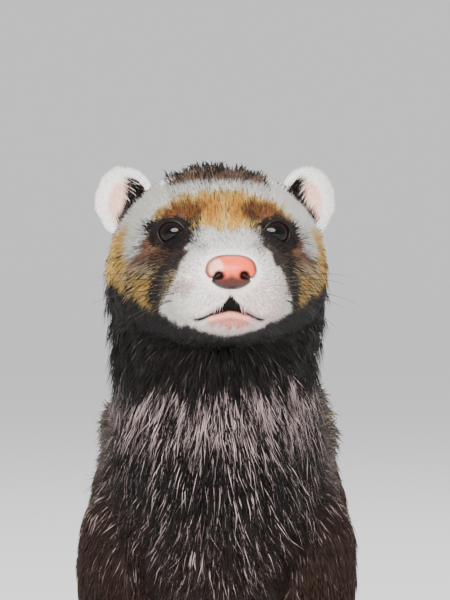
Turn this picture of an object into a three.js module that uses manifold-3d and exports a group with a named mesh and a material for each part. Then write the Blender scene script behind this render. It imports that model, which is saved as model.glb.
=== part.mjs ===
/*
 * A life-size domestic ferret, an adult male in the dark sable coat.
 * It stands on four feet with its neck raised and its face a little to its own left.
 *
 * Units are millimetres. +Z is up and the floor is z = 0. The face looks towards -Y, the tail
 * trails towards +Y and the animal's left side is +X. The origin is the middle of its footprint box.
 *
 * Every long form is a run of oval sections along a bent line, so a limb is a short table of
 * stations and one loft. The head has its own sections and is modelled level in a turned group.
 */
import * as THREE from 'three';
import { LoftGeometry } from 'three/addons/geometries/LoftGeometry.js';
import { mergeVertices } from 'three/addons/utils/BufferGeometryUtils.js';
import Module from 'manifold-3d';

const wasm = await Module();
wasm.setup();
const { Manifold, Mesh: SolidMesh } = wasm;

// Driving dimensions

const GAP = 0.3; // left between pieces that touch
const FOOTPRINT_MIDDLE_Y = 151; // from the forefeet back to the middle of the whole animal
const BODY_COAT = 5; // from the skin out to the tips of the coat
const TAIL_COAT = 8.5;
const CORE_SHARE = 0.35; // how far through the coat the dense core reaches

const HEAD_PIVOT = new THREE.Vector3(0, -44, 146);
const HEAD_TURN = THREE.MathUtils.degToRad(4);
const HEAD_LIFT = THREE.MathUtils.degToRad(1);
const NOSE_REACH = 58; // from the pivot forward to the middle of the nose pad

const EYE_RADIUS = 4.9;
const EYE_FRONT = new THREE.Vector3(14.5, 24.5, 10.3); // side, depth behind the nose, rise
const EYE_OUTWARD = THREE.MathUtils.degToRad(32);
const EYE_UPWARD = THREE.MathUtils.degToRad(12);
const EYE_SLANT = THREE.MathUtils.degToRad(6); // the inner corner lies lower
const LID_THICKNESS = 0.7;
const LID_OPENING = new THREE.Vector2(4.3, 3.4);

const EAR_AT = new THREE.Vector3(25.5, 57, 18.5); // side, depth behind the nose, rise
const EAR_SIZE = new THREE.Vector3(8.7, 4.8, 10.4);
const EAR_WALL = 1.8;
const EAR_BOWL = 2.6; // how far the hollow stands forward of the shell
const EAR_TURN = { forward: -0.1, outward: 0.32, open: 0.5 }; // radians

const NOSE_SIZE = new THREE.Vector3(6.6, 4.2, 4.4);
const NOSE_AT = new THREE.Vector3(0, 0.6, 0.4);
const NOSE_TAPER = 0.32; // narrower below
const NOSE_GROOVE = { depth: 0.16, width: 0.16 };
const NOSTRIL_PIT = { size: new THREE.Vector3(1.5, 2.4, 1.35), at: new THREE.Vector3(3, -2.8, 0.2) };
const NOSTRIL_SLIT = { size: new THREE.Vector3(2.4, 2.2, 0.55), at: new THREE.Vector3(4.9, -1.6, -0.7) };

const MOUTH_WIDTH = 0.8; // the line between the lips
const MOUTH_DEPTH = 1.8;
const MOUTH_RISE = -8.4; // under the middle of the nose
const MOUTH_DIP = { drop: 3.7, out: 9 };
const MOUTH_CORNER = { depth: 19, climb: 1.2 };
const CHIN_SHARE = 0.13; // how much narrower the lower jaw is than the upper

// Stations

// Each row is: distance along the line, x, y, z, half width, reach to the back side, reach to the
// belly side. On the neck the back side is the nape, on a leg it is the rear of the leg.
const SPINE = [
  [0, 0, -56, 154, 20, 15, 22],
  [17, 0, -44, 143, 27.5, 28, 31],
  [43, 0, -30, 120, 24.5, 26, 27.5],
  [72, 0, -12, 97, 26, 27, 30],
  [104, 0, 16, 81, 29.5, 28, 34],
  [143, 0, 55, 77, 31, 30, 32],
  [186, 0, 98, 84, 31, 31, 33],
  [228, 0, 140, 91, 32.5, 32, 36],
  [270, 0, 182, 90, 34.5, 32, 38],
  [307, 0, 218, 81, 33.5, 30, 35],
  [336, 0, 246, 72, 26, 23, 26],
  [357, 0, 266, 65, 11, 10, 12],
];

const TAIL = [
  [0, 0, 254, 69, 11, 11, 11],
  [28, 0, 281, 60.1, 9.5, 9.5, 9.5],
  [66, 1, 317, 48.6, 8, 8, 8],
  [106, 3, 355, 40.2, 6.5, 6.5, 6.5],
  [141, 6, 389, 35.6, 4, 4, 4],
  [160, 8, 408, 35, 1.2, 1.2, 1.2],
];

const FORELEG = [
  [0, 23, 6, 86, 8, 9, 9],
  [12, 26, 6, 75, 12, 16, 15],
  [26, 28.5, 8, 62, 12, 17, 16],
  [40, 29, 10, 49, 11, 14, 12.5],
  [56, 27.5, 5, 35, 9, 10, 9.5],
  [73, 26, -1, 20, 8, 8.5, 8.5],
  [84, 26, -4, 10, 8.5, 8, 9],
];

const HINDLEG = [
  [0, 24, 226, 92, 8, 9, 9],
  [14, 27, 222, 80, 13, 20, 20],
  [32, 31, 214, 64, 13.5, 22, 22],
  [50, 33, 204, 49, 12, 17, 15],
  [68, 31.5, 214, 36, 9.5, 11, 10],
  [88, 30, 231, 25, 8, 8.5, 8.5],
  [102, 29.5, 234, 12, 7.5, 7.5, 7.5],
];

// On a foot the back side is the sole, so the last number of a row reaches up.
const FORE_PALM = [
  [0, 26, 2, 13, 6.5, 6, 6],
  [9, 26, -5, 8.5, 9.5, 8.8, 8],
  [18, 26, -14, 5.6, 10.8, 6.6, 6.2],
  [26, 26, -22, 4.4, 9.6, 4.8, 4.4],
];
const HIND_PALM = [
  [0, 29.5, 242, 12, 4.5, 5, 5],
  [8, 29.5, 235, 10, 8, 10.4, 8],
  [20, 29.5, 223, 8, 8.6, 8.8, 7.6],
  [34, 29.5, 209, 6.6, 10, 7.4, 6.4],
  [45, 29.5, 198, 4.8, 10, 5.4, 4.8],
];
const TOE = [
  [0, 0, 3, 5, 2.2, 3.2, 2.8],
  [6, 0, -3, 5.8, 2.45, 4, 3.1],
  [11, 0, -8, 4.2, 2.5, 4.9, 3.1],
  [14.5, 0, -11.4, 3, 1.6, 2.6, 2],
];
const CLAW = [
  [0, 0, -8, 5.2, 1.1, 1.6, 1.4],
  [6, 0, -14, 4.4, 0.8, 1.1, 0.9],
  [10.5, 0, -17.6, 1.6, 0.3, 0.4, 0.4],
];

// Where the animal is parted: along the spine for nape and shoulder, along the tail for the rump.
const NAPE_RUN = 17;
const SHOULDER_RUN = 88;
const RUMP_RUN = 14;
const TAIL_CORE_END = 152;

// How far each foot stands forward of the mean stance, so that the animal is not a mirror image.
const STRIDE = { foreleg_left: -5, foreleg_right: 5, hindleg_left: 6, hindleg_right: -7 };
const WRIST = { foreleg: 19, hindleg: 25 }; // height of the cut between leg and paw
const TOE_SPREAD = 5;
const TOE_TURN = 0.1;

// Head sections: depth behind the nose, half width, crown, underside, rise of the widest line.
const HEAD = [
  [0, 6, 3, -6.5, -2],
  [1.5, 9.6, 5.2, -9.5, -3],
  [4, 12.8, 7.2, -13, -4],
  [8, 15.2, 8.8, -15.6, -5],
  [13, 16.2, 10.3, -16.6, -5],
  [20, 17.6, 13.2, -17.8, -4],
  [28, 21.8, 18.4, -19.2, -3],
  [36, 26, 23.2, -21, -2],
  [46, 29, 26.6, -23.5, -1.5],
  [56, 29.6, 27.6, -25.5, -1],
  [66, 28.2, 26, -27, 0],
  [76, 24, 21, -24, 0],
  [84, 16, 13, -16, 0],
];
const HEAD_SQUARENESS = 2.25;

// Locks of the coat: first and last root, row spacing, locks to a row, length, width, thickness.
const NECK_LOCKS = { from: 19, to: 80, row: 15, around: 8, length: 27, width: 21, thick: 1.8 };
const BODY_LOCKS = { from: 93, to: 322, row: 38, around: 7, length: 56, width: 30, thick: 2 };
const TAIL_LOCKS = { from: 16, to: 132, row: 19, around: 4, length: 38, width: 15, thick: 1.8 };
const LOCK_ROOT = 3; // how deep a root is sunk under the core
const LOCK_LEAN = 0.22; // turn of a flank lock towards the belly, in radians
const LOCK_STEPS = [0, 0.3, 0.7, 1];
const LOCK_WIDTHS = [0.5, 1, 0.8, 0.06];
const LOCK_RISE = [0, 0.6, 0.95, 1];

// Soft bumps and hollows of the head: side, depth, rise, height over the section, spread.
const HEAD_RELIEF = [
  [13, 30, 16, 0.9, 5],
  [18, 29, 8, 0.5, 5],
  [8.5, 6, -6, 1.2, 5],
  [26.5, 44, 2, 0.9, 9],
  [0, 24, 15, -1.1, 5],
  [0, 55, 28, 0.7, 12],
];

// Smooth numbers along a table: cubic pieces whose slope at a row follows its two neighbours.
function sample(table, at) {
  const last = table.length - 1;
  let i = 0;
  while (i < last - 1 && at > table[i + 1][0]) i += 1;
  const slope = (k, c) => {
    const a = table[Math.max(k - 1, 0)];
    const b = table[Math.min(k + 1, last)];
    return (b[c] - a[c]) / (b[0] - a[0]);
  };
  const [from, to] = [table[i], table[i + 1]];
  const span = to[0] - from[0];
  const s = THREE.MathUtils.clamp((at - from[0]) / span, 0, 1);
  return from.map((value, c) => {
    const start = slope(i, c) * span;
    const end = slope(i + 1, c) * span;
    const rise = to[c] - value;
    return value + s * (start + s * (3 * rise - 2 * start - end + s * (start + end - 2 * rise)));
  });
}

// A bent form with oval sections. point() also serves what grows on it.
class Limb {
  constructor(stations, mirror = 1, forward = 0) {
    this.stations = stations;
    this.mirror = mirror;
    this.forward = forward;
    this.length = stations[stations.length - 1][0];
  }

  centre(run) {
    const [, x, y, z] = sample(this.stations, run);
    const share = THREE.MathUtils.smoothstep(100 - z, 15, 85); // feet step, the shoulder stays
    return new THREE.Vector3(x * this.mirror, y + this.forward * share, z);
  }

  axes(run) {
    const step = 0.5;
    const along = this.centre(Math.min(run + step, this.length))
      .sub(this.centre(Math.max(run - step, 0)))
      .normalize();
    const side = new THREE.Vector3(1, 0, 0).addScaledVector(along, -along.x).normalize();
    return { along, side, back: side.clone().cross(along) };
  }

  point(run, angle, lift = 0) {
    const [, , , , width, back, belly] = sample(this.stations, run);
    const { side, back: up } = this.axes(run);
    const [c, s] = [Math.cos(angle), Math.sin(angle)];
    return this.centre(run)
      .addScaledVector(side, (width + lift) * c)
      .addScaledVector(up, ((s > 0 ? back : belly) + lift) * s);
  }

  loft({ from = 0, to = this.length, steps, sides, lift = () => 0 }) {
    const sections = [];
    for (let i = 0; i <= steps; i += 1) {
      const run = THREE.MathUtils.lerp(from, to, i / steps);
      const ring = [];
      for (let j = 0; j < sides; j += 1) {
        ring.push(this.point(run, (-j / sides) * Math.PI * 2, lift(run)));
      }
      sections.push(ring);
    }
    return solid(new LoftGeometry(sections, { capStart: true, capEnd: true }));
  }
}

// Solids

// A closed three.js geometry as a solid, turned the right way out.
function solid(geometry) {
  const bare = new THREE.BufferGeometry().setAttribute('position', geometry.getAttribute('position'));
  bare.setIndex(geometry.getIndex());
  const merged = mergeVertices(bare, 1e-4);
  const corners = merged.getIndex().array;
  const kept = [];
  for (let i = 0; i < corners.length; i += 3) {
    const [a, b, c] = corners.slice(i, i + 3);
    if (a !== b && b !== c && c !== a) kept.push(a, b, c);
  }
  const build = (order) => new Manifold(new SolidMesh({
    numProp: 3,
    vertProperties: merged.getAttribute('position').array,
    triVerts: new Uint32Array(order),
  }));
  const made = build(kept);
  return made.volume() > 0 ? made : build(kept.reverse());
}

const join = (solids) => solids.reduce((whole, piece) => whole.add(piece));

// The largest closed surface of a solid: sealed hollows are filled and loose scraps dropped.
function largest(body) {
  const parts = body.decompose();
  return parts.reduce((best, part) => (part.volume() > best.volume() ? part : best));
}

// The part of a solid on the side of a plane that its normal points to, half a gap clear of it.
function beyond(body, point, normal) {
  const n = normal.clone().normalize();
  return body.trimByPlane(n.toArray(), n.dot(point) + GAP / 2);
}

const floorCut = (body) => body.trimByPlane([0, 0, 1], 0);

// A sphere with named half sizes, placed by a matrix.
function ball(size, across, down, placed = new THREE.Matrix4()) {
  const shape = new THREE.SphereGeometry(1, across, down);
  shape.scale(size.x, size.y, size.z);
  return solid(shape.applyMatrix4(placed));
}

const placing = (at, turn = new THREE.Euler()) => new THREE.Matrix4()
  .compose(at, new THREE.Quaternion().setFromEuler(turn), new THREE.Vector3(1, 1, 1));

// Coat

// Repeatable random numbers from 0 to 1.
function randomSource(seed) {
  let state = seed;
  return () => {
    state = (Math.imul(state, 1664525) + 1013904223) >>> 0;
    return state / 4294967296;
  };
}

// One flat lock that leaves the core at its root, lies along the limb and tapers to its tip.
// Its section is a low ridge; "extra" makes it thicker all round, as room for a neighbour.
function lock(limb, { run, angle, length, width, thick, root, tip, sway }, extra = 0) {
  const sections = LOCK_STEPS.map((s, i) => {
    const at = run + s * length + (2 * s - 1) * extra;
    const turned = angle + (sway - LOCK_LEAN * Math.cos(angle)) * s;
    const lift = THREE.MathUtils.lerp(root, tip(at), LOCK_RISE[i]);
    const [, , , , reach] = sample(limb.stations, at);
    const half = (LOCK_WIDTHS[i] * width) / 2 / (reach + lift) + extra / reach;
    const deep = (thick * (1 - 0.6 * s)) / 2;
    const edge = (side, rise) => limb.point(at, turned + side * half, lift - deep + rise);
    const ridge = limb.point(at, turned, lift + deep + extra);
    return [ridge, edge(-1, extra), edge(-1, -extra), edge(1, -extra), edge(1, extra)];
  });
  return solid(new LoftGeometry(sections, { capStart: true, capEnd: true }));
}

// Staggered rows of locks, each a little different.
function lockRows(limb, { from, to, row, around, length, width, thick }, tip, seed) {
  const random = randomSource(seed);
  const spread = () => 2 * random() - 1;
  const locks = [];
  const rows = Math.round((to - from) / row);
  for (let i = 0; i <= rows; i += 1) {
    for (let j = 0; j < around; j += 1) {
      const run = Math.max(THREE.MathUtils.lerp(from, to, i / rows) + row * 0.2 * spread(), from);
      const taller = 0.5 * spread();
      locks.push({
        run,
        angle: ((j + (i % 2) / 2 + 0.16 * spread()) / around) * Math.PI * 2,
        length: Math.min(length * (1 + 0.16 * spread()), limb.length - run - 1),
        width: width * (1 + 0.14 * spread()),
        thick,
        root: tip(run) * CORE_SHARE - LOCK_ROOT,
        tip: (at) => tip(at) + taller,
        sway: 0.12 * spread(),
      });
    }
  }
  return locks;
}

// Head

const headPlace = (x, depth, z) => new THREE.Vector3(x, depth - NOSE_REACH, z);

// The line between the lips: it dips beside the nose and climbs a little towards the corner.
function mouthRise(x, depth) {
  const dip = MOUTH_DIP.drop * THREE.MathUtils.smoothstep(Math.abs(x), 0, MOUTH_DIP.out);
  const climb = THREE.MathUtils.smoothstep(depth, MOUTH_CORNER.depth / 2, MOUTH_CORNER.depth);
  return MOUTH_RISE - dip + MOUTH_CORNER.climb * climb;
}

function headPoint(depth, angle, lift = 0) {
  const [, width, crown, under, widest] = sample(HEAD, depth);
  const power = 2 / HEAD_SQUARENESS;
  const [c, s] = [Math.cos(angle), Math.sin(angle)];
  const reach = s > 0 ? crown - widest : widest - under;
  let x = Math.sign(c) * Math.abs(c) ** power * width;
  let z = widest + Math.sign(s) * Math.abs(s) ** power * reach;
  const belowLips = THREE.MathUtils.smoothstep(mouthRise(x, depth) - z, -0.6, 1.6);
  x *= 1 - CHIN_SHARE * belowLips * (1 - THREE.MathUtils.smoothstep(depth, 14, 30));
  const out = new THREE.Vector2(x, z - widest).normalize();
  let height = lift;
  for (const [bx, bd, bz, bump, spread] of HEAD_RELIEF) {
    const far = (Math.abs(x) - bx) ** 2 + (depth - bd) ** 2 + (z - bz) ** 2;
    height += bump * Math.exp(-far / (2 * spread * spread));
  }
  x += out.x * height;
  z += out.y * height;
  return headPlace(x, depth, z);
}

function headLoft(steps, sides, lift = 0) {
  const sections = [];
  const end = HEAD[HEAD.length - 1][0];
  for (let i = 0; i <= steps; i += 1) {
    const depth = end * (i / steps) ** 1.25; // closer sections at the muzzle
    const ring = [];
    for (let j = 0; j < sides; j += 1) {
      ring.push(headPoint(depth, (-j / sides) * Math.PI * 2, lift));
    }
    sections.push(ring);
  }
  return solid(new LoftGeometry(sections, { capStart: true, capEnd: true }));
}

// A thin blade through the line of the mouth, wider than the muzzle.
function mouthBlade() {
  const [columns, rows, reach] = [12, 5, 20];
  const sections = [];
  for (let i = 0; i <= columns; i += 1) {
    const x = THREE.MathUtils.lerp(-reach, reach, i / columns);
    const edge = (side) => Array.from({ length: rows }, (_, k) => {
      const depth = THREE.MathUtils.lerp(-4, MOUTH_CORNER.depth, k / (rows - 1));
      return headPlace(x, depth, mouthRise(x, depth) + (side * MOUTH_WIDTH) / 2);
    });
    sections.push([...edge(-1), ...edge(1).reverse()]);
  }
  return solid(new LoftGeometry(sections, { capStart: true, capEnd: true }));
}

// A matrix at the middle of an eyeball, turned so that -Y is the way the eye looks.
function eyeMatrix(side) {
  const turn = new THREE.Euler(EYE_UPWARD, 0, side * EYE_OUTWARD, 'ZXY');
  const look = new THREE.Vector3(0, -1, 0).applyEuler(turn);
  const front = headPlace(side * EYE_FRONT.x, EYE_FRONT.y, EYE_FRONT.z);
  return placing(front.addScaledVector(look, -EYE_RADIUS), turn);
}

function eyeball(side, extra = 0) {
  const r = EYE_RADIUS + extra;
  return ball(new THREE.Vector3(r, r, r), 14, 9, eyeMatrix(side));
}

// The gap between the lids, as a rod along the way the eye looks: an oval with narrow corners.
function lidOpening(side) {
  const sections = [0, -3 * EYE_RADIUS].map((y) => Array.from({ length: 14 }, (_, k) => {
    const a = (k / 14) * Math.PI * 2;
    const narrow = 1 - 0.2 * Math.cos(a) ** 4;
    return new THREE.Vector3(LID_OPENING.x * Math.cos(a), y, LID_OPENING.y * Math.sin(a) * narrow);
  }));
  const rod = new LoftGeometry(sections, { capStart: true, capEnd: true });
  rod.rotateY(-side * EYE_SLANT);
  return solid(rod.applyMatrix4(eyeMatrix(side)));
}

// The nose pad: broad on top, narrow below, with a groove down its middle.
function nosePad(extra = 0) {
  const shape = new THREE.SphereGeometry(1, 16, 10);
  const at = shape.getAttribute('position');
  for (let i = 0; i < at.count; i += 1) {
    const [x, y, z] = [at.getX(i), at.getY(i), at.getZ(i)];
    const taper = z < 0 ? 1 + NOSE_TAPER * z : 1;
    const groove = NOSE_GROOVE.depth * Math.exp(-((x / NOSE_GROOVE.width) ** 2))
      * THREE.MathUtils.smoothstep(-z, -0.3, 0.7);
    at.setXYZ(
      i,
      x * taper * (NOSE_SIZE.x + extra),
      (y + (y < 0 ? groove : 0)) * (NOSE_SIZE.y + extra),
      z * (NOSE_SIZE.z + extra),
    );
  }
  shape.translate(...headPlace(NOSE_AT.x, NOSE_AT.y, NOSE_AT.z));
  return solid(shape);
}

// A round pit that runs out into a slit to the side.
function nostril(side) {
  const { size: pitSize, at: pit } = NOSTRIL_PIT;
  const { size: slitSize, at: slit } = NOSTRIL_SLIT;
  const pitMatrix = placing(headPlace(side * pit.x, pit.y, pit.z), new THREE.Euler(0, 0, side * 0.5));
  const slitMatrix = placing(
    headPlace(side * slit.x, slit.y, slit.z),
    new THREE.Euler(0, side * 0.45, side * 0.6),
  );
  return ball(pitSize, 7, 5, pitMatrix).add(ball(slitSize, 6, 4, slitMatrix));
}

const earMatrix = (side) => placing(
  headPlace(side * EAR_AT.x, EAR_AT.y, EAR_AT.z),
  new THREE.Euler(EAR_TURN.forward, side * EAR_TURN.outward, side * EAR_TURN.open, 'ZXY'),
);

// An ear is a rounded cup that opens forwards and outwards.
function ear(side) {
  const shell = ball(EAR_SIZE, 14, 10, earMatrix(side));
  const inside = EAR_SIZE.clone().subScalar(EAR_WALL);
  inside.y = EAR_SIZE.y;
  const bowl = new THREE.Matrix4().makeTranslation(0, -EAR_BOWL, 0).premultiply(earMatrix(side));
  return shell.subtract(ball(inside, 12, 8, bowl));
}

// Feet

// Five toes with claws stand in an arc at the end of the palm, the inner one further back.
function foot(side, stations, forward) {
  const palm = new Limb(stations, side, forward);
  const front = palm.centre(palm.length).setZ(0);
  const pieces = [palm.loft({ steps: 4, sides: 10 })];
  for (let k = -2; k <= 2; k += 1) {
    const back = 1.1 * k * k + (k === -2 * side ? 2.4 : 0);
    const at = front.clone().add(new THREE.Vector3(k * TOE_SPREAD, back, 0));
    const matrix = placing(at, new THREE.Euler(0, 0, k * TOE_TURN)).toArray();
    pieces.push(new Limb(TOE).loft({ steps: 2, sides: 6 }).transform(matrix));
    pieces.push(new Limb(CLAW).loft({ steps: 2, sides: 3 }).transform(matrix));
  }
  return join(pieces);
}

// Parting the animal into nodes

const headMatrix = placing(HEAD_PIVOT, new THREE.Euler(HEAD_LIFT, 0, HEAD_TURN, 'ZXY'));
const spine = new Limb(SPINE);
const tail = new Limb(TAIL);

const napeAt = spine.centre(NAPE_RUN);
const napeAlong = spine.axes(NAPE_RUN).along;
const shoulderAt = spine.centre(SHOULDER_RUN);
const shoulderAlong = spine.axes(SHOULDER_RUN).along;
const rumpAt = tail.centre(RUMP_RUN);
const rumpAlong = tail.axes(RUMP_RUN).along;

// Heights of the coat's tips over the skin.
const coatLift = (run) => BODY_COAT * THREE.MathUtils.smoothstep(run, 12, 42)
  * (1 - 0.7 * THREE.MathUtils.smoothstep(run, 325, 357));
const tailLift = (run) => TAIL_COAT * (0.25 + 0.75 * THREE.MathUtils.smoothstep(run, 0, 50))
  * (1 - 0.8 * THREE.MathUtils.smoothstep(run, 105, 160));

const core = (lift) => (run) => CORE_SHARE * lift(run);
const trunk = spine.loft({ steps: 20, sides: 14, lift: core(coatLift) });
const brush = tail.loft({ to: TAIL_CORE_END, steps: 8, sides: 8, lift: core(tailLift) });

const headInSpace = headLoft(22, 30).transform(headMatrix.toArray());
const body = trunk.add(headInSpace);
const behindHead = beyond(body, napeAt, napeAlong);

const legs = [
  ['foreleg', 'left', FORELEG, FORE_PALM],
  ['foreleg', 'right', FORELEG, FORE_PALM],
  ['hindleg', 'left', HINDLEG, HIND_PALM],
  ['hindleg', 'right', HINDLEG, HIND_PALM],
].map(([kind, hand, stations, palm]) => {
  const side = hand === 'left' ? 1 : -1;
  const forward = STRIDE[`${kind}_${hand}`];
  const limb = new Limb(stations, side, forward);
  return {
    kind,
    hand,
    limb,
    whole: floorCut(limb.loft({ from: 2 * GAP, steps: 11, sides: 12 }).add(foot(side, palm, forward))),
    room: limb.loft({ steps: 11, sides: 12, lift: () => GAP }),
  };
});

// Whether a point lies in a limb, taken as a row of discs.
function inLimb(limb, point) {
  for (let run = 0; run <= limb.length; run += 2) {
    const [, , , , width, back, belly] = sample(limb.stations, run);
    const offset = point.clone().sub(limb.centre(run));
    const { along, side, back: up } = limb.axes(run);
    const [u, v] = [offset.dot(side) / width, offset.dot(up)];
    if (Math.abs(offset.dot(along)) < 2 && Math.hypot(u, v / (v > 0 ? back : belly)) < 1) return true;
  }
  return false;
}

// A lock whose middle would lie in a leg is left out.
const clearOfLegs = (limb) => ({ run, angle, length, tip }) => {
  const at = run + length / 2;
  return legs.every((leg) => !inLimb(leg.limb, limb.point(at, angle, tip(at))));
};
const withoutLegs = (piece) => legs.reduce((rest, leg) => rest.subtract(leg.room), piece);

const neckLocks = lockRows(spine, NECK_LOCKS, coatLift, 11).filter(clearOfLegs(spine));
const bodyLocks = lockRows(spine, BODY_LOCKS, coatLift, 23).filter(clearOfLegs(spine));
const tailLocks = lockRows(tail, TAIL_LOCKS, tailLift, 37);
const overShoulder = neckLocks.filter(({ run, length }) => run + length > SHOULDER_RUN);

const neckCore = beyond(behindHead, shoulderAt, shoulderAlong.clone().negate());
const neck = largest(withoutLegs(beyond(
  join([neckCore, ...neckLocks.map((made) => lock(spine, made))]),
  napeAt,
  napeAlong,
)));

const torsoCore = behindHead.add(brush);
const torsoCoat = bodyLocks.map((made) => lock(spine, made));
const neckTips = join(overShoulder.map((made) => lock(spine, made, GAP)));
const behindShoulder = beyond(join([torsoCore, ...torsoCoat]), shoulderAt, shoulderAlong);
const torso = largest(withoutLegs(
  beyond(behindShoulder.subtract(neckTips), rumpAt, rumpAlong.clone().negate()),
));

const tailCoat = tailLocks.map((made) => lock(tail, made));
const tailSolid = largest(beyond(join([brush, ...tailCoat]), rumpAt, rumpAlong));

// The head, level, with the neck's share trimmed off in its own frame.
const intoHead = headMatrix.clone().invert();
let head = beyond(body, napeAt, napeAlong.clone().negate()).transform(intoHead.toArray());
head = head.subtract(mouthBlade().subtract(headLoft(16, 20, -MOUTH_DEPTH)));
for (const side of [1, -1]) {
  head = head.add(eyeball(side, GAP + LID_THICKNESS));
}
for (const side of [1, -1]) {
  head = head.subtract(eyeball(side, GAP)).subtract(lidOpening(side));
}
head = largest(head.subtract(nosePad(GAP)));

const nose = largest(nosePad().subtract(nostril(1)).subtract(nostril(-1)));
const headRoom = headLoft(22, 30, GAP);
const earSolids = [1, -1].map((side) => largest(ear(side).subtract(headRoom)));

// Scene graph

const COLOURS = {
  face: 0xe8dcc4,
  nose: 0xd9755f,
  eye: 0x140d0a,
  ear: 0xe9d6c6,
  neck: 0x2b2322,
  body: 0x7d6248,
  leg: 0x2a201c,
  tail: 0x33271f,
};

function shapeOf(made) {
  const { numProp, numVert, vertProperties, triVerts } = made.getMesh();
  const places = new Float32Array(numVert * 3);
  for (let i = 0; i < numVert; i += 1) {
    places.set(vertProperties.subarray(i * numProp, i * numProp + 3), i * 3);
  }
  const geometry = new THREE.BufferGeometry();
  geometry.setAttribute('position', new THREE.BufferAttribute(places, 3));
  geometry.setIndex(new THREE.BufferAttribute(triVerts, 1));
  geometry.computeVertexNormals();
  return geometry;
}

function node(name, made, color, roughness = 0.9) {
  const mesh = new THREE.Mesh(shapeOf(made), new THREE.MeshStandardMaterial({ color, roughness }));
  mesh.name = name;
  return mesh;
}

const ferret = new THREE.Group();
ferret.position.set(0, -FOOTPRINT_MIDDLE_Y, 0);

const headGroup = new THREE.Group();
headGroup.applyMatrix4(headMatrix);
headGroup.add(node('head', head, COLOURS.face));
headGroup.add(node('nose', nose, COLOURS.nose, 0.45));
['left', 'right'].forEach((hand, i) => {
  const side = i ? -1 : 1;
  headGroup.add(node(`eye_${hand}`, eyeball(side), COLOURS.eye, 0.08));
  headGroup.add(node(`ear_${hand}`, earSolids[i], COLOURS.ear));
});
ferret.add(headGroup);

ferret.add(node('neck', neck, COLOURS.neck));
ferret.add(node('torso', torso, COLOURS.body));
ferret.add(node('tail', tailSolid, COLOURS.tail));
for (const { kind, hand, whole } of legs) {
  const cut = new THREE.Vector3(0, 0, WRIST[kind]);
  const up = new THREE.Vector3(0, 0, 1);
  const paw = kind.replace('leg', 'paw');
  ferret.add(node(`${kind}_${hand}`, largest(beyond(whole, cut, up)), COLOURS.leg));
  ferret.add(node(`${paw}_${hand}`, largest(beyond(whole, cut, up.clone().negate())), COLOURS.leg));
}

export default ferret;
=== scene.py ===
# %% [markdown]
# # A dark sable ferret, life size
#
# The animal stands on four feet with its neck raised and looks at the viewer. The solids of the
# frame say how large it is and where everything lies. This script gives it a skin, a coat of
# many small tufts, eyes, a nose, whiskers and claws. Lengths in this script are millimetres
# until a mesh is made, because an animal's parts are easiest to think of in millimetres.

import math

import bmesh
import bpy
import numpy as np
from mathutils import Matrix, Vector
from mathutils.bvhtree import BVHTree
from mathutils.kdtree import KDTree


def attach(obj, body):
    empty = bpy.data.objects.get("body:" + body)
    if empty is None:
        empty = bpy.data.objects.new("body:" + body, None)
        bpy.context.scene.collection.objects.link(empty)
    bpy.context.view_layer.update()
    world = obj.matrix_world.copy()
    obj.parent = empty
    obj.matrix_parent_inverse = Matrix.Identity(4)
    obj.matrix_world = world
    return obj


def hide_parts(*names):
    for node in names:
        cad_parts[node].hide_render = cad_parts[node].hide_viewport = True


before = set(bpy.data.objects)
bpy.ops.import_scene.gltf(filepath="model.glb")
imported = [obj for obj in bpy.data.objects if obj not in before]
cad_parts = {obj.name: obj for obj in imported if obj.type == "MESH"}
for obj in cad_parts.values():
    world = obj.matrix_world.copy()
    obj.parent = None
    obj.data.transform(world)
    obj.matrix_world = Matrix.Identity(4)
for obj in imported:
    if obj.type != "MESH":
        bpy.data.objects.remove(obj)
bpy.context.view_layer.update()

# %% [markdown]
# ## Lines and sections
#
# A ferret is a long tube on short legs, so each long form is a bent line with an oval section
# at every point of it. A short table of stations is enough: distance along the line, place,
# half width, and the reach to the back side and to the belly side. Between the stations a
# smooth cubic fills in. The same tables made the solids, so skin and solids agree.

# %% Stations of the body
MILLIMETRE = 0.001
FOOTPRINT_MIDDLE = np.array([0.0, 151.0, 0.0])  # the frame's origin is under the animal's middle
SIDES = {"left": 1, "right": -1}  # the animal's own left is +X

SPINE = [
    [0, 0, -56, 154, 20, 15, 22],
    [17, 0, -44, 143, 27.5, 28, 31],
    [43, 0, -30, 120, 24.5, 26, 27.5],
    [72, 0, -12, 97, 26, 27, 30],
    [104, 0, 16, 81, 29.5, 28, 34],
    [143, 0, 55, 77, 31, 30, 32],
    [186, 0, 98, 84, 31, 31, 33],
    [228, 0, 140, 91, 32.5, 32, 36],
    [270, 0, 182, 90, 34.5, 32, 38],
    [307, 0, 218, 81, 33.5, 30, 35],
    [336, 0, 246, 72, 26, 23, 26],
    [357, 0, 266, 65, 11, 10, 12],
]
TAIL = [
    [0, 0, 254, 69, 11, 11, 11],
    [28, 0, 281, 60.1, 9.5, 9.5, 9.5],
    [66, 1, 317, 48.6, 8, 8, 8],
    [106, 3, 355, 40.2, 6.5, 6.5, 6.5],
    [141, 6, 389, 35.6, 4, 4, 4],
    [160, 8, 408, 35, 1.2, 1.2, 1.2],
]
FORELEG = [
    [0, 23, 6, 86, 8, 9, 9],
    [12, 26, 6, 75, 12, 16, 15],
    [26, 28.5, 8, 62, 12, 17, 16],
    [40, 29, 10, 49, 11, 14, 12.5],
    [56, 27.5, 5, 35, 9, 10, 9.5],
    [73, 26, -1, 20, 8, 8.5, 8.5],
    [84, 26, -4, 10, 8.5, 8, 9],
]
HINDLEG = [
    [0, 24, 226, 92, 8, 9, 9],
    [14, 27, 222, 80, 13, 20, 20],
    [32, 31, 214, 64, 13.5, 22, 22],
    [50, 33, 204, 49, 12, 17, 15],
    [68, 31.5, 214, 36, 9.5, 11, 10],
    [88, 30, 231, 25, 8, 8.5, 8.5],
    [102, 29.5, 234, 12, 7.5, 7.5, 7.5],
]
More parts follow.
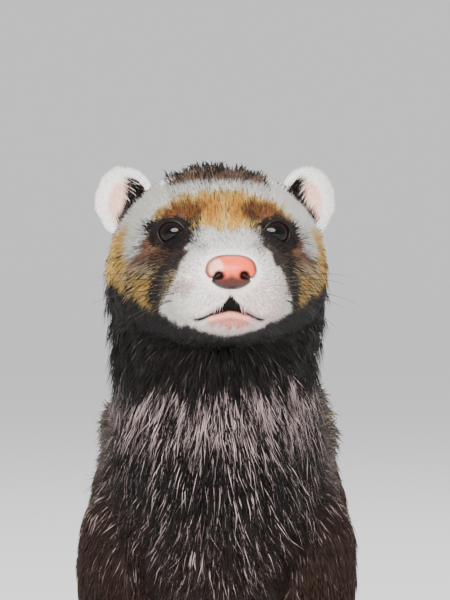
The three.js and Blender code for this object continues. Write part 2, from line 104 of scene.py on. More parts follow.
FORE_PALM = [
    [0, 26, 2, 13, 6.5, 6, 6],
    [9, 26, -5, 8.5, 9.5, 8.8, 8],
    [18, 26, -14, 5.6, 10.8, 6.6, 6.2],
    [26, 26, -22, 4.4, 9.6, 4.8, 4.4],
]
HIND_PALM = [
    [0, 29.5, 242, 12, 4.5, 5, 5],
    [8, 29.5, 235, 10, 8, 10.4, 8],
    [20, 29.5, 223, 8, 8.6, 8.8, 7.6],
    [34, 29.5, 209, 6.6, 10, 7.4, 6.4],
    [45, 29.5, 198, 4.8, 10, 5.4, 4.8],
]
TOE = [
    [0, 0, 3, 5, 2.2, 3.2, 2.8],
    [6, 0, -3, 5.8, 2.45, 4, 3.1],
    [11, 0, -8, 4.2, 2.5, 4.9, 3.1],
    [14.5, 0, -11.4, 3, 1.6, 2.6, 2],
]
CLAW = [
    [0, 0, -8, 5.2, 1.1, 1.6, 1.4],
    [6, 0, -14, 4.4, 0.8, 1.1, 0.9],
    [10.5, 0, -17.6, 1.6, 0.3, 0.4, 0.4],
]
STRIDE = {"foreleg_left": -5, "foreleg_right": 5, "hindleg_left": 6, "hindleg_right": -7}
TOE_SPREAD, TOE_TURN = 5, 0.1  # millimetres and radians from toe to toe
TOE_REACH = 13  # millimetres from the palm's front to the toe tips
FIND_STEP, FIND_LOT = 4.0, 20000  # millimetres along a limb, and points looked at together


def ease(value, low, high):
    """0 up to low and 1 from high on, with a smooth climb between."""
    s = np.clip((value - low) / (high - low), 0, 1)
    return s * s * (3 - 2 * s)


def fade(value, low, high):
    """1 up to low and 0 from high on."""
    return 1 - ease(value, low, high)


def sample(table, at):
    """Smooth rows between the rows of a table; the slope at a row follows its neighbours."""
    table = np.asarray(table, float)
    x = table[:, 0]
    before = np.maximum(np.arange(len(x)) - 1, 0)
    after = np.minimum(np.arange(len(x)) + 1, len(x) - 1)
    slopes = (table[after] - table[before]) / (x[after] - x[before])[:, None]
    at = np.atleast_1d(np.asarray(at, float))
    i = np.clip(np.searchsorted(x, at, side="right") - 1, 0, len(x) - 2)
    span = (x[i + 1] - x[i])[:, None]
    s = np.clip((at[:, None] - x[i][:, None]) / span, 0, 1)
    start, end, rise = slopes[i] * span, slopes[i + 1] * span, table[i + 1] - table[i]
    return table[i] + s * (start + s * (3 * rise - 2 * start - end + s * (start + end - 2 * rise)))


def unit(vectors):
    return vectors / np.maximum(np.linalg.norm(vectors, axis=-1, keepdims=True), 1e-9)


class Limb:
    """A bent form with oval sections, also asked where a point lies on it."""

    def __init__(self, stations, mirror=1, forward=0):
        self.stations, self.mirror, self.forward = stations, mirror, forward
        self.length = stations[-1][0]

    def centre(self, run):
        x, y, z = sample(self.stations, run)[:, 1:4].T
        share = ease(100 - z, 15, 85)  # feet step, the shoulder stays
        return np.stack([x * self.mirror, y + self.forward * share, z], -1)

    def axes(self, run):
        run = np.atleast_1d(run)
        ahead = self.centre(np.minimum(run + 0.5, self.length))
        along = unit(ahead - self.centre(np.maximum(run - 0.5, 0)))
        side = unit(np.array([1.0, 0, 0]) - along * along[:, :1])
        return along, side, np.cross(side, along)

    def point(self, run, angle, lift=0.0):
        run, angle = np.broadcast_arrays(np.atleast_1d(run).astype(float), angle)
        width, back, belly = sample(self.stations, run)[:, 4:7].T
        _, side, up = self.axes(run)
        c, s = np.cos(angle), np.sin(angle)
        reach = np.where(s > 0, back, belly)
        across, rise = ((width + lift) * c)[:, None], ((reach + lift) * s)[:, None]
        return self.centre(run) + side * across + up * rise

    def find(self, points):
        """For each point: distance along, angle round, and height over the section."""
        runs = np.arange(0, self.length + FIND_STEP, FIND_STEP)
        centres = self.centre(np.minimum(runs, self.length))
        nearest = np.empty(len(points), int)
        for i in range(0, len(points), FIND_LOT):
            apart = points[i:i + FIND_LOT, None, :] - centres[None]
            nearest[i:i + FIND_LOT] = np.argmin((apart ** 2).sum(-1), axis=1)
        run = np.minimum(runs[nearest], self.length)
        along, side, up = self.axes(run)
        offset = points - centres[nearest]
        run = np.clip(run + (offset * along).sum(-1), 0, self.length)
        width, back, belly = sample(self.stations, run)[:, 4:7].T
        u, v = (offset * side).sum(-1), (offset * up).sum(-1)
        reach = np.where(v > 0, back, belly)
        height = (np.hypot(u / width, v / reach) - 1) * np.minimum(width, reach)
        beyond = np.abs(((points - self.centre(run)) * along).sum(-1))
        return run, np.arctan2(v / reach, u / width), height + beyond


spine, tail = Limb(SPINE), Limb(TAIL)
legs = {
    name: Limb(FORELEG if name.startswith("fore") else HINDLEG, SIDES[name.split("_")[1]], step)
    for name, step in STRIDE.items()
}
print("lengths in mm: spine", spine.length, "tail", tail.length)

# %% [markdown]
# ## The head's own sections
#
# The head is the part that everyone looks at, so it has finer sections of its own, squarer
# than ovals, with soft bumps for brow, cheek and whisker pad. It is described level, as
# (side, depth behind the nose, rise), and then turned a little to the animal's left, as in
# the picture.

# %% Head
HEAD = [  # depth, half width, rise of the crown, of the underside and of the widest place
    [0, 6, 3, -6.5, -2],
    [1.5, 9.6, 5.2, -9.5, -3],
    [4, 12.8, 7.2, -13, -4],
    [8, 15.2, 8.8, -15.6, -5],
    [13, 16.2, 10.3, -16.6, -5],
    [20, 17.6, 13.2, -17.8, -4],
    [28, 21.8, 18.4, -19.2, -3],
    [36, 26, 23.2, -21, -2],
    [46, 29, 26.6, -23.5, -1.5],
    [56, 29.6, 27.6, -25.5, -1],
    [66, 28.2, 26, -27, 0],
    [76, 24, 21, -24, 0],
    [84, 16, 13, -16, 0],
]
HEAD_SQUARENESS = 2.25
HEAD_PIVOT = Vector((0, -44, 146))
HEAD_TURN, HEAD_LIFT = math.radians(4), math.radians(1)
NOSE_REACH = 58  # millimetres from the pivot forward to the nose
NOSE_AT = np.array([0, 0.6, 0.4])
MOUTH_RISE, MOUTH_DROP, MOUTH_OUT = -8.4, 3.7, 9
MOUTH_CORNER, MOUTH_CLIMB = 19, 1.2
MOUTH_GAP, MOUTH_GAP_HALF = 1.0, 5.0  # the dark gap under the upper lip: height and half width
CHIN_SHARE = 0.13  # how much narrower the lower jaw is
HEAD_RELIEF = [  # side, depth, rise, height and spread of each soft bump
    [13, 30, 16, 0.9, 5],
    [18, 29, 8, 0.5, 5],
    [8.5, 6, -6, 1.2, 5],
    [26.5, 44, 2, 0.9, 9],
    [0, 24, 15, -1.1, 5],
    [0, 55, 28, 0.7, 12],
]

head_matrix = (
    Matrix.Translation(HEAD_PIVOT)
    @ Matrix.Rotation(HEAD_TURN, 4, "Z")
    @ Matrix.Rotation(HEAD_LIFT, 4, "X")
    @ Matrix.Translation((0, -NOSE_REACH, 0))
)
head_back = head_matrix.inverted()


def moved(matrix, points):
    """Points carried by a 4 x 4 matrix."""
    m = np.array(matrix)
    return points @ m[:3, :3].T + m[:3, 3]


def mouth_rise(x, depth):
    """The line between the lips dips beside the nose and climbs a little to its corner."""
    dip = MOUTH_DROP * ease(np.abs(x), 0, MOUTH_OUT)
    return MOUTH_RISE - dip + MOUTH_CLIMB * ease(depth, MOUTH_CORNER / 2, MOUTH_CORNER)


def lip_gap(x):
    """Height of the dark gap between the lips: widest under the nose."""
    return MOUTH_GAP * np.clip(1 - (np.abs(x) / MOUTH_GAP_HALF) ** 2, 0, 1)


def head_point(depth, angle, lift=0.0):
    depth, angle = np.broadcast_arrays(np.atleast_1d(depth).astype(float), angle)
    _, width, crown, under, widest = sample(HEAD, depth).T
    c, s = np.cos(angle), np.sin(angle)
    power = 2 / HEAD_SQUARENESS
    reach = np.where(s > 0, crown - widest, widest - under)
    x = np.sign(c) * np.abs(c) ** power * width
    z = widest + np.sign(s) * np.abs(s) ** power * reach
    below_lips = ease(mouth_rise(x, depth) - z, -0.6, 1.6)
    x = x * (1 - CHIN_SHARE * below_lips * fade(depth, 14, 30))
    away = unit(np.stack([x, z - widest], -1))
    height = np.zeros_like(x) + lift
    for bump_x, bump_depth, bump_z, bump, spread in HEAD_RELIEF:
        far = (np.abs(x) - bump_x) ** 2 + (depth - bump_depth) ** 2 + (z - bump_z) ** 2
        height = height + bump * np.exp(-far / (2 * spread * spread))
    return np.stack([x + away[:, 0] * height, depth, z + away[:, 1] * height], -1)


def head_coat(depth):
    """How deep the skin lies under the tips of the coat on the head."""
    return 0.7 + 0.9 * ease(depth, 14, 40) + 0.9 * ease(depth, 50, 75)


print("head turned", round(math.degrees(HEAD_TURN)), "degrees to its left")

# %% [markdown]
# ## Forms from rings
#
# Each form is a stack of rings. Blender's circle operator makes every ring, its corners move to
# the section's outline, and Bridge Loops skins the stack; the first and last ring keep their
# cap, so the form is closed. The forms overlap where they meet, because a voxel remesh then
# melts them into one skin with no seam.

# %% Rings and lofts
def to_frame(points):
    """Millimetres from the forefeet to metres in the frame."""
    return (np.asarray(points, float) - FOOTPRINT_MIDDLE) * MILLIMETRE


def put_at(verts, places):
    """Moves corners to places in millimetres."""
    for vertex, place in zip(verts, to_frame(places)):
        vertex.co = place


def add_loft(bm, outlines, sides, closed=False):
    """Bridges rings; outlines[i](angles) gives ring i's corners in millimetres."""
    rings = []
    for i, outline in enumerate(outlines):
        cap = not closed and i in (0, len(outlines) - 1)
        ring = bmesh.ops.create_circle(bm, segments=sides, radius=1, cap_ends=cap)["verts"]
        put_at(ring, outline(np.array([math.atan2(v.co.y, v.co.x) for v in ring])))
        rings.append({e for v in ring for e in v.link_edges})
    for before, after in zip(rings, rings[1:] + rings[:closed]):
        bmesh.ops.bridge_loops(bm, edges=list(before | after))


def ring_round(middle, s, beside, radius, matrix, wider=1.0):
    """A ring round the bent line middle(s); wider stretches it across the direction beside."""
    along = unit(middle(s + 0.01) - middle(s - 0.01))
    across = unit(np.cross(along, beside))
    up = np.cross(across, along)

    def corners(angles):
        turned = across * (wider * np.cos(angles))[:, None] + up * np.sin(angles)[:, None]
        return moved(matrix, middle(s) + turned * radius)
    return corners


def add_ball(bm, radius, columns, rows, pole_ahead=False):
    """A sphere: its corners, and their places as an array."""
    ball = bmesh.ops.create_uvsphere(bm, u_segments=columns, v_segments=rows, radius=radius)["verts"]
    if pole_ahead:
        bmesh.ops.rotate(bm, verts=ball, cent=(0, 0, 0), matrix=Matrix.Rotation(math.pi / 2, 3, "X"))
    return ball, np.array([v.co for v in ball])


def add_limb(bm, limb, rings, sides, inset=0.0, matrix=Matrix.Identity(4)):
    """A limb's loft, with its surface a little inside its sections."""
    def outline(run):
        return lambda angles: moved(matrix, limb.point(np.full(len(angles), run), angles, -inset))
    add_loft(bm, [outline(r) for r in np.linspace(0.0, limb.length, rings)], sides)


def placed(name, data):
    """A new object in the scene, at the origin."""
    made = bpy.data.objects.new(name, data)
    bpy.context.scene.collection.objects.link(made)
    return made


def finished(name, bm):
    """The bmesh as a smooth object, faces outwards."""
    bmesh.ops.recalc_face_normals(bm, faces=bm.faces)
    for face in bm.faces:
        face.smooth = True
    mesh = bpy.data.meshes.new(name)
    bm.to_mesh(mesh)
    bm.free()
    return placed(name, mesh)


def applied(obj, kind, **settings):
    """Bakes one modifier into an object's mesh."""
    modifier = obj.modifiers.new(kind.lower(), kind)
    for name, value in settings.items():
        setattr(modifier, name, value)
    bpy.context.view_layer.update()
    graph = bpy.context.evaluated_depsgraph_get()
    mesh = bpy.data.meshes.new_from_object(obj.evaluated_get(graph))
    obj.modifiers.clear()
    obj.data = mesh
    return obj


def melted(obj, voxel):
    """Voxel remesh: overlapping closed forms become one closed surface."""
    return applied(obj, "REMESH", mode="VOXEL", voxel_size=voxel * MILLIMETRE, use_smooth_shade=True)


# %% [markdown]
# ## Body, legs and feet
#
# Under a ferret's coat is a smooth tube with short legs and broad flat feet of five toes. The
# skin lies deeper than the solids by the depth of the coat: a few millimetres on the trunk,
# next to nothing on the toes. The toes stay a little apart so that the melt keeps the grooves
# between them.

# %% Body form
LEG_COAT, FOOT_COAT = 1.4, 0.5  # millimetres of coat over the skin
BODY_VOXEL = 1.7

body_bm = bmesh.new()
add_limb(body_bm, spine, rings=60, sides=48)
add_limb(body_bm, tail, rings=34, sides=24)
toes = []  # a matrix for each of the twenty toes
feet = {}  # palm and toes as one plain form, asked later where a hair grows
for name, limb in legs.items():
    side = limb.mirror
    add_limb(body_bm, limb, rings=26, sides=28, inset=LEG_COAT)
    palm = Limb(FORE_PALM if name.startswith("fore") else HIND_PALM, side, limb.forward)
    add_limb(body_bm, palm, rings=12, sides=24, inset=FOOT_COAT)
    front = palm.centre(palm.length)[0] * (1, 1, 0)
    for k in range(-2, 3):
        back = 1.1 * k * k + (2.4 if k == -2 * side else 0)  # the inner toe lies furthest back
        turn = Matrix.Rotation(k * TOE_TURN, 4, "Z")
        place = Matrix.Translation(Vector(front) + Vector((k * TOE_SPREAD, back, 0))) @ turn
        add_limb(body_bm, Limb(TOE), rings=9, sides=16, inset=FOOT_COAT, matrix=place)
        toes.append(place)
    last = palm.stations[-1]
    tip = [last[0] + TOE_REACH, last[1], last[2] - TOE_REACH, 4, 11, 4, 4]
    feet[name] = Limb([*palm.stations, tip], side, limb.forward)
body_form = melted(finished("body_form", body_bm), BODY_VOXEL)
print("body form:", len(body_form.data.polygons), "faces")

# %% [markdown]
# ## Head and ears
#
# The head is one stack of rings from the nose back. An ear is a rounded cup, made as one stack
# too: rings grow from the back of the shell to the rim, turn over it and shrink again into the
# bowl. Ears are thin, so the head is melted with a finer voxel than the body.

# %% Eye places
EYE_RADIUS = 5.3
EYE_FRONT = (14.3, 24.9, 10.3)
EYE_OUTWARD, EYE_DOWNWARD, EYE_SLANT = math.radians(21), math.radians(2), math.radians(6)
LID_OPENING = (math.radians(46), math.radians(37.5))  # half angles seen from the eye's middle
LID_NARROWING = 0.22  # how much flatter the opening is at its corners
LID_HEIGHT = 0.6  # millimetres of lid over the eyeball
ORBIT_RADIUS, ORBIT_BEHIND = 7.6, 3.9  # the soft mound round the lids
NOWHERE = 99.0  # a distance that no test lets through


def eye_matrix(side):
    """From the middle of an eyeball, with -Y the way it looks, to the head's frame."""
    turn = Matrix.Rotation(side * EYE_OUTWARD, 4, "Z") @ Matrix.Rotation(EYE_DOWNWARD, 4, "X")
    look = turn @ Vector((0, -1, 0))
    middle = Vector((side * EYE_FRONT[0], EYE_FRONT[1], EYE_FRONT[2])) - look * EYE_RADIUS
    return Matrix.Translation(middle) @ turn @ Matrix.Rotation(-side * EYE_SLANT, 4, "Y")


eye_matrices = {side: eye_matrix(side) for side in SIDES.values()}


def lid_distance(side, local):
    """1 on the edge of the lids, less inside the opening; also the place seen from the eye."""
    p = moved(eye_matrices[side].inverted(), local)
    r = np.maximum(np.linalg.norm(p, axis=1), 1e-6)
    across = np.maximum(np.hypot(p[:, 0], p[:, 2]), 1e-6)
    turned = np.arccos(np.clip(-p[:, 1] / r, -1, 1))
    x, z = turned * p[:, 0] / across, turned * p[:, 2] / across
    narrow = 1 - LID_NARROWING * np.minimum(np.abs(x) / LID_OPENING[0], 1) ** 4
    away = np.hypot(x / LID_OPENING[0], z / (LID_OPENING[1] * narrow))
    return np.where(p[:, 1] < 0.3, away, NOWHERE), p, r


# %% Head form
HEAD_VOXEL = 0.75
EAR_AT = (25.0, 57, 18.5)
EAR_FORWARD, EAR_OUTWARD, EAR_OPEN = -0.1, 0.32, 0.5  # radians
EAR_SIZE = np.array([9.2, 4.7, 10.2])
EAR_BOWL = np.array([6.6, 4.7, 7.7])
EAR_BOWL_FORWARD = 2.6
EAR_BOWL_SHIFT = (-1.1, -1.0)  # the bowl lies towards the head and low, so its rim is broad above


def ear_matrix(side):
    return (
        Matrix.Translation((side * EAR_AT[0], EAR_AT[1], EAR_AT[2]))
        @ Matrix.Rotation(side * EAR_OPEN, 4, "Z")
        @ Matrix.Rotation(EAR_FORWARD, 4, "X")
        @ Matrix.Rotation(side * EAR_OUTWARD, 4, "Y")
    )


def add_ear(bm, side):
    matrix = head_matrix @ ear_matrix(side)
    rows = []
    for a in np.linspace(1.45, -0.12, 12):  # shell, from its back to the rim
        c, y = math.cos(a), EAR_SIZE[1] * math.sin(a)
        rows.append((EAR_SIZE[0] * c, EAR_SIZE[2] * c, y, 0))
    for a in np.linspace(0.42, 1.45, 10):  # bowl, from the rim to its bottom
        c, y = 1.06 * math.cos(a), EAR_BOWL[1] * math.sin(a) - EAR_BOWL_FORWARD
        rows.append((EAR_BOWL[0] * c, EAR_BOWL[2] * c, y, 1))

    def outline(half_x, half_z, y, shift):
        def corners(angles):
            across = half_x * np.cos(angles) + shift * side * EAR_BOWL_SHIFT[0]
            rise = half_z * np.sin(angles) + shift * EAR_BOWL_SHIFT[1]
            return moved(matrix, np.stack([across, np.full(len(angles), y), rise], -1))
        return corners
    add_loft(bm, [outline(*row) for row in rows], 40)


def bowl_share(cup, side):
    """Distance from the middle of an ear's bowl, 1 at its edge; huge on the back of the ear."""
    across = (cup[:, 0] * side - EAR_BOWL_SHIFT[0]) / EAR_BOWL[0]
    share = np.hypot(across, (cup[:, 2] - EAR_BOWL_SHIFT[1]) / EAR_BOWL[2])
    return np.where(cup[:, 1] < EAR_BOWL_FORWARD, share, NOWHERE)


def head_outline(depth):
    def corners(angles):
        depths = np.full(len(angles), depth)
        return moved(head_matrix, head_point(depths, angles, -head_coat(depths)))
    return corners


head_bm = bmesh.new()
add_loft(head_bm, [head_outline(d) for d in HEAD[-1][0] * np.linspace(0.0, 1, 70) ** 1.25], 88)
for side in SIDES.values():
    add_ear(head_bm, side)
    for radius, behind in ((EYE_RADIUS + LID_HEIGHT, 0), (ORBIT_RADIUS, ORBIT_BEHIND)):
        matrix = head_matrix @ eye_matrices[side] @ Matrix.Translation((0, behind, 0))
        ball, places = add_ball(head_bm, radius, 32, 20)
        put_at(ball, moved(matrix, places))
head_form = melted(finished("head_form", head_bm), HEAD_VOXEL)
print("head form:", len(head_form.data.polygons), "faces")

# %% [markdown]
# ## One skin
#
# A Boolean union sews head and body into one closed surface, so that no seam shows at the
# neck. A few rounds of vertex smoothing take out the steps that the voxels leave, more of them
# along the neck's seam. Round the eyes and lips the faces are split finer.

# %% Union
skin = applied(body_form, "BOOLEAN", operation="UNION", solver="MANIFOLD", object=head_form)
skin.name = "skin"
bpy.data.objects.remove(head_form)
print("skin:", len(skin.data.polygons), "faces")


def places_of(mesh):
    flat = np.empty(len(mesh.vertices) * 3, np.float32)
    mesh.vertices.foreach_get("co", flat)
    return flat.reshape(-1, 3).astype(float) / MILLIMETRE + FOOTPRINT_MIDDLE


# %% Smoothing and finer faces
FINE_AT = [  # where the skin is split finer: side, depth, rise and radius in the head's frame
    (14.5, 25, 10.3, 8.5),
    (0, 6, -11, 13.5),
]
skin_bm = bmesh.new()
skin_bm.from_mesh(skin.data)


def relax(verts, rounds):
    for _ in range(rounds):
        bmesh.ops.smooth_vert(
            skin_bm, verts=verts, factor=0.5, use_axis_x=True, use_axis_y=True, use_axis_z=True,
        )


def in_head(vertex):
    place = np.array(vertex.co) / MILLIMETRE + FOOTPRINT_MIDDLE
    return head_back @ Vector(place)


def near_detail(vertex):
    local = in_head(vertex)
    local.x = abs(local.x)
    return any((local - Vector(at[:3])).length < at[3] for at in FINE_AT)


relax(skin_bm.verts, 4)
relax([v for v in skin_bm.verts if 42 < in_head(v).y < 96 and in_head(v).z < 16], 14)
close = {v for v in skin_bm.verts if near_detail(v)}
fine = [e for e in skin_bm.edges if e.verts[0] in close and e.verts[1] in close]
bmesh.ops.subdivide_edges(skin_bm, edges=fine, cuts=1, use_grid_fill=True)
skin_bm.to_mesh(skin.data)
skin_bm.free()
print("skin after the finer split:", len(skin.data.vertices), "corners")

# %% [markdown]
# ## Eye sockets, lids and mouth
#
# A ferret's eye is a black bead that bulges from the side of the face, held by thin lids. Here
# every corner of the skin near an eye slides along the line from the eye's middle: inside the
# opening it sinks behind the eyeball, round it it rises to a thin lid. The line of the mouth
# is a groove that follows the lips.

# %% Sockets and lips
SOCKET_SINK = 0.9  # millimetres that the skin lies behind the front of the eyeball
LIP_GROOVE_DEPTH, LIP_GROOVE_WIDTH = 1.7, 0.62
MOUTH_SHOWS = 9.5  # millimetres to each side; further back the fur hides it
FLOOR_CLEARANCE = 0.25
THROAT_SIDE = np.array([0.0, 14.0, -5.0])  # the way into the mouth leads here
points = places_of(skin.data)
local = moved(head_back, points)
face = (local[:, 1] < 45) & (local[:, 1] > -8)
shaped = local[face]
for side, matrix in eye_matrices.items():
    away, p, r = lid_distance(side, shaped)
    sunk = EYE_RADIUS - SOCKET_SINK
    wanted = sunk + (EYE_RADIUS + LID_HEIGHT - sunk) * ease(away, 0.9, 1.08)
    share = np.where(r < EYE_RADIUS + 2.5, fade(away, 1.08, 1.3), 0.0)
    target = moved(matrix, p * (wanted / r)[:, None])
    shaped = shaped + (target - shaped) * share[:, None]

x, depth, z = shaped.T
from_line = z - mouth_rise(x, depth)
ends = fade(depth, MOUTH_CORNER - 5, MOUTH_CORNER) * (z < -5)
ends = ends * (1 - 0.8 * ease(np.abs(x), MOUTH_SHOWS - 2, MOUTH_SHOWS + 2))
half_gap = lip_gap(x) / 2
off_gap = np.maximum(np.abs(from_line + half_gap) - half_gap, 0)
groove = LIP_GROOVE_DEPTH * np.exp(-(off_gap / LIP_GROOVE_WIDTH) ** 2) * ends
lips = 0.5 * np.exp(-((off_gap - 1.5) / 0.8) ** 2) * ends
philtrum_line = np.exp(-(x / 0.55) ** 2) * ease(-z, 3.5, 5)
philtrum = 0.9 * philtrum_line * ease(from_line, -0.3, 0.4) * (depth < 8)
local[face] = shaped + unit(THROAT_SIDE - shaped) * (groove + philtrum - lips)[:, None]
points = moved(head_matrix, local)
points[:, 2] = np.maximum(points[:, 2], FLOOR_CLEARANCE)  # soles are flat
skin.data.vertices.foreach_set("co", to_frame(points).astype(np.float32).ravel())
skin.data.update()
print("lowest skin in mm:", round(points[:, 2].min(), 2))

# %% [markdown]
# ## Where a point of the coat lies
#
# Every tuft and every corner of the skin needs the same facts: which form it is on, how far
# along that form, the way the hair lies there, and where it falls on a flat map of the skin.
# One function finds them all from the place alone. Where two forms meet, as at the shoulder,
# the lie is a mix of both, so the coat flows from neck to leg with no edge.

# %% Survey of the skin
MAP_UNIT = 500  # millimetres of skin across the whole flat map
MAP_PLACES = {  # corner of each form's own area on the flat map
    "spine": (0.02, 0.01, 0.50), "head": (0.02, 0.53, 0.44), "tail": (0.28, 0.53, 0.13),
    "foreleg_left": (0.28, 0.68, 0.15), "foreleg_right": (0.62, 0.68, 0.15),
    "hindleg_left": (0.28, 0.84, 0.15), "hindleg_right": (0.62, 0.84, 0.15),
    "ear_left": (0.70, 0.53, 0.13), "ear_right": (0.84, 0.53, 0.13),
}
FLANK_LEAN = 0.25  # how much the coat of the flanks turns towards the belly
THROAT_FAN = 0.03  # how much the throat's coat spreads, for each millimetre off the middle
NOSE_MIDDLE = np.array([0.0, -2.0, -0.5])
FORM_BLEND = 4  # millimetres over which two forms share the coat


def head_height(local):
    """Rough height of points over the head's sections."""
    depth = np.clip(local[:, 1], 0, HEAD[-1][0])
    _, width, crown, under, widest = sample(HEAD, depth).T
    above = local[:, 2] - widest
    reach = np.where(above > 0, crown - widest, widest - under)
    beyond = np.abs(local[:, 1] - depth)
    return (np.hypot(local[:, 0] / width, above / reach) - 1) * np.minimum(width, reach) + beyond


def head_lie(local):
    """From the nose outwards and back, parted round the eyes, falling on cheeks and chin."""
    out = (local - NOSE_MIDDLE) * (1.0, 0.35, 1.0)
    lie = unit(out) * (0.9, 0, 0.9) + np.array([0, 0.75, 0])
    lie[:, 2] -= 0.75 * (ease(np.abs(local[:, 0]), 12, 26) * ease(14 - local[:, 2], 0, 14))
    for side, matrix in eye_matrices.items():
        away = local - np.array(matrix.translation)
        near = np.exp(-(np.linalg.norm(away, axis=1) / 8.5) ** 2)
        lie += unit(away) * (1.6 * near)[:, None]
    return unit(lie)


def flat_place(name, run, angle):
    """A place on the flat map: along the form to the right, round the form upwards."""
    u, v, tall = MAP_PLACES[name]
    share = (angle / (2 * math.pi) + 0.25) % 1
    return np.stack([u + run / MAP_UNIT, v + share * tall], -1)


def survey(points):
    """The facts about points in millimetres, as arrays in one dictionary."""
    local = moved(head_back, points)
    facts = {"local": local, "place": points, "cups": {}}
    found = {}  # for each form: height over it, lie of the hair, place on the map
    for name, limb in {"spine": spine, "tail": tail, **legs}.items():
        run, angle, height = limb.find(points)
        along, side, up = limb.axes(run)
        lie = along
        if name in feet:
            foot_run, foot_angle, foot_height = feet[name].find(points)
            on_foot = foot_height < height
            lie = np.where(on_foot[:, None], feet[name].axes(foot_run)[0], along)
            run = np.where(on_foot, limb.length + foot_run, run)
            angle = np.where(on_foot, foot_angle, angle)
            height = np.minimum(height, foot_height)
        if name == "spine":
            facts["spine_run"], facts["spine_angle"] = run, angle
            height = height + 30 * fade(run, 6, 20)  # the head covers its start
            round_way = side * -np.sin(angle)[:, None] + up * np.cos(angle)[:, None]
            fan = ease(-np.sin(angle), -0.3, 0.5) * fade(run, 80, 110) * THROAT_FAN * points[:, 0]
            lie = unit(along - round_way * (FLANK_LEAN * np.cos(angle))[:, None] + side * fan[:, None])
        found[name] = height, lie, flat_place(name, run, angle)
    around = np.arctan2(local[:, 2] + 1, local[:, 0])
    reach = np.linalg.norm(local - NOSE_MIDDLE, axis=1)
    head_turned = np.array(head_matrix)[:3, :3]
    lie = head_lie(local) @ head_turned.T
    found["head"] = head_height(local), lie, flat_place("head", reach, around)
    for hand, side in SIDES.items():
        matrix = ear_matrix(side)
        cup = moved(matrix.inverted(), local)
        facts["cups"][hand] = cup
        on_ear = (np.linalg.norm(cup / (EAR_SIZE + 0.9), axis=1) < 1) & (found["head"][0] > -0.6)
        lie = np.stack([cup[:, 0] * 0.05 * side, np.zeros(len(points)), np.ones(len(points))], -1)
        lie = lie @ (head_turned @ np.array(matrix)[:3, :3]).T
        u, v, _ = MAP_PLACES["ear_" + hand]
        flat_u = u + 0.055 + np.where(cup[:, 1] > 0.5, 1, -1) * 0.028 + cup[:, 0] / MAP_UNIT
        flat = np.stack([flat_u, v + 0.06 + cup[:, 2] / MAP_UNIT], -1)
        found["ear_" + hand] = np.where(on_ear, -9.0, NOWHERE), lie, flat
    names = np.array(list(found))
    heights, lies, maps = (np.array(column) for column in zip(*found.values()))
    owner = np.argmin(heights, axis=0)
    nearness = np.exp(-(np.maximum(heights, 0) / FORM_BLEND) ** 2 / 2)
    nearness[heights > 90] = 0
    nearness /= np.maximum(nearness.sum(0), 1e-9)
    lie = unit((lies * nearness[..., None]).sum(0))
    here = np.arange(len(points))
    ear = np.char.startswith(names[owner], "ear")
    lie[ear] = lies[owner[ear], here[ear]]
    return facts | {
        "owner": names[owner], "lie": lie, "map": maps[owner, here],
        "share": dict(zip(names.tolist(), nearness)),
    }


# %% [markdown]
# ## Markings
#
# A dark sable ferret has pale underfur and long dark guard hairs. The face is pale with a dark
# mask over the eyes, a yellow-brown band over the brow, chestnut above the eyes and a white
# muzzle; throat, legs and tail are nearly black. The markings are plain formulas of place in
# the head's own frame or along a limb: a colour for the underfur, one for the guard hairs and
# the share of guard hairs. Noise drawn out along the lie of the hair makes the borders streaky.

# %% Colours
def linear(hex_colour):
    """An sRGB hex colour as linear red, green and blue."""
    parts = [int(hex_colour[i:i + 2], 16) / 255 for i in (1, 3, 5)]
    return np.array([c / 12.92 if c <= 0.04045 else ((c + 0.055) / 1.055) ** 2.4 for c in parts])


# The nose's pale patch is a painted highlight. The dark of the nose's underside and of the gap between
# the lips is painted shade over dark pigment.
COLOURS = {name: linear(code) for name, code in {
    "white": "#fbf8f1", "cream": "#eedfc4", "ochre": "#edbf64", "orange": "#d88c2a",
    "chestnut": "#86501f", "umber": "#86604a", "black": "#120c0a", "crown": "#84644b",
    "blush": "#efdad6", "pink": "#ee9f8e", "taupe": "#b9a3a1", "buff": "#bfa57c",
    "sable": "#35241b", "smoke": "#4b3f3f", "lid": "#140d0b", "lip": "#d98a7c", "gap": "#160c0b",
    "ear": "#dba395", "sole": "#a8726a", "coral": "#e85636", "nose_pigment_and_shade": "#170a08", "nose_highlight": "#f6c4b2",
}.items()}


def painted(colour, *layers):
    """Colours with layers of paint on them, each a colour's name and how much it covers."""
    for name, share in layers:
        colour = colour + (COLOURS[name] - colour) * share[:, None]
    return colour


def scramble(*cells):
    """A repeatable random number from 0 to 1 for each whole-number cell."""
    total = sum(c.astype(np.int64) * k for c, k in zip(cells, (73856093, 19349663)))
    total = (total ^ (total >> 13)) * 1274126177 & 0xFFFFFFFF
    return ((total ^ (total >> 16)) & 0xFFFFFF) / 0xFFFFFF


def noise(x, y):
    """Smooth value noise on a unit grid, from -1 to 1."""
    i, j = np.floor(x), np.floor(y)
    s, t = x - i, y - j
    s, t = s * s * (3 - 2 * s), t * t * (3 - 2 * t)
    low = scramble(i, j) * (1 - s) + scramble(i + 1, j) * s
    high = scramble(i, j + 1) * (1 - s) + scramble(i + 1, j + 1) * s
    return 2 * (low * (1 - t) + high * t) - 1


def patch(x, z, middle, half, turn=0.0, soft=0.3):
    """1 inside a turned oval, falling softly to 0 outside."""
    c, s = math.cos(turn), math.sin(turn)
    dx, dz = x - middle[0], z - middle[1]
    rho = np.hypot((c * dx + s * dz) / half[0], (c * dz - s * dx) / half[1])
    return fade(rho, 1 - soft, 1 + soft)


# %% Markings of the face
MASK_RISE_IN, MASK_IN = [-12, -8, -2.5, 2.8, 8.5, 12], [18.6, 17.6, 15.2, 12.0, 9.4, 9.4]
MASK_RISE_OUT, MASK_OUT = [-12, -6, 0, 8, 15, 18], [19.5, 25.0, 26.4, 24.2, 20.4, 18.5]


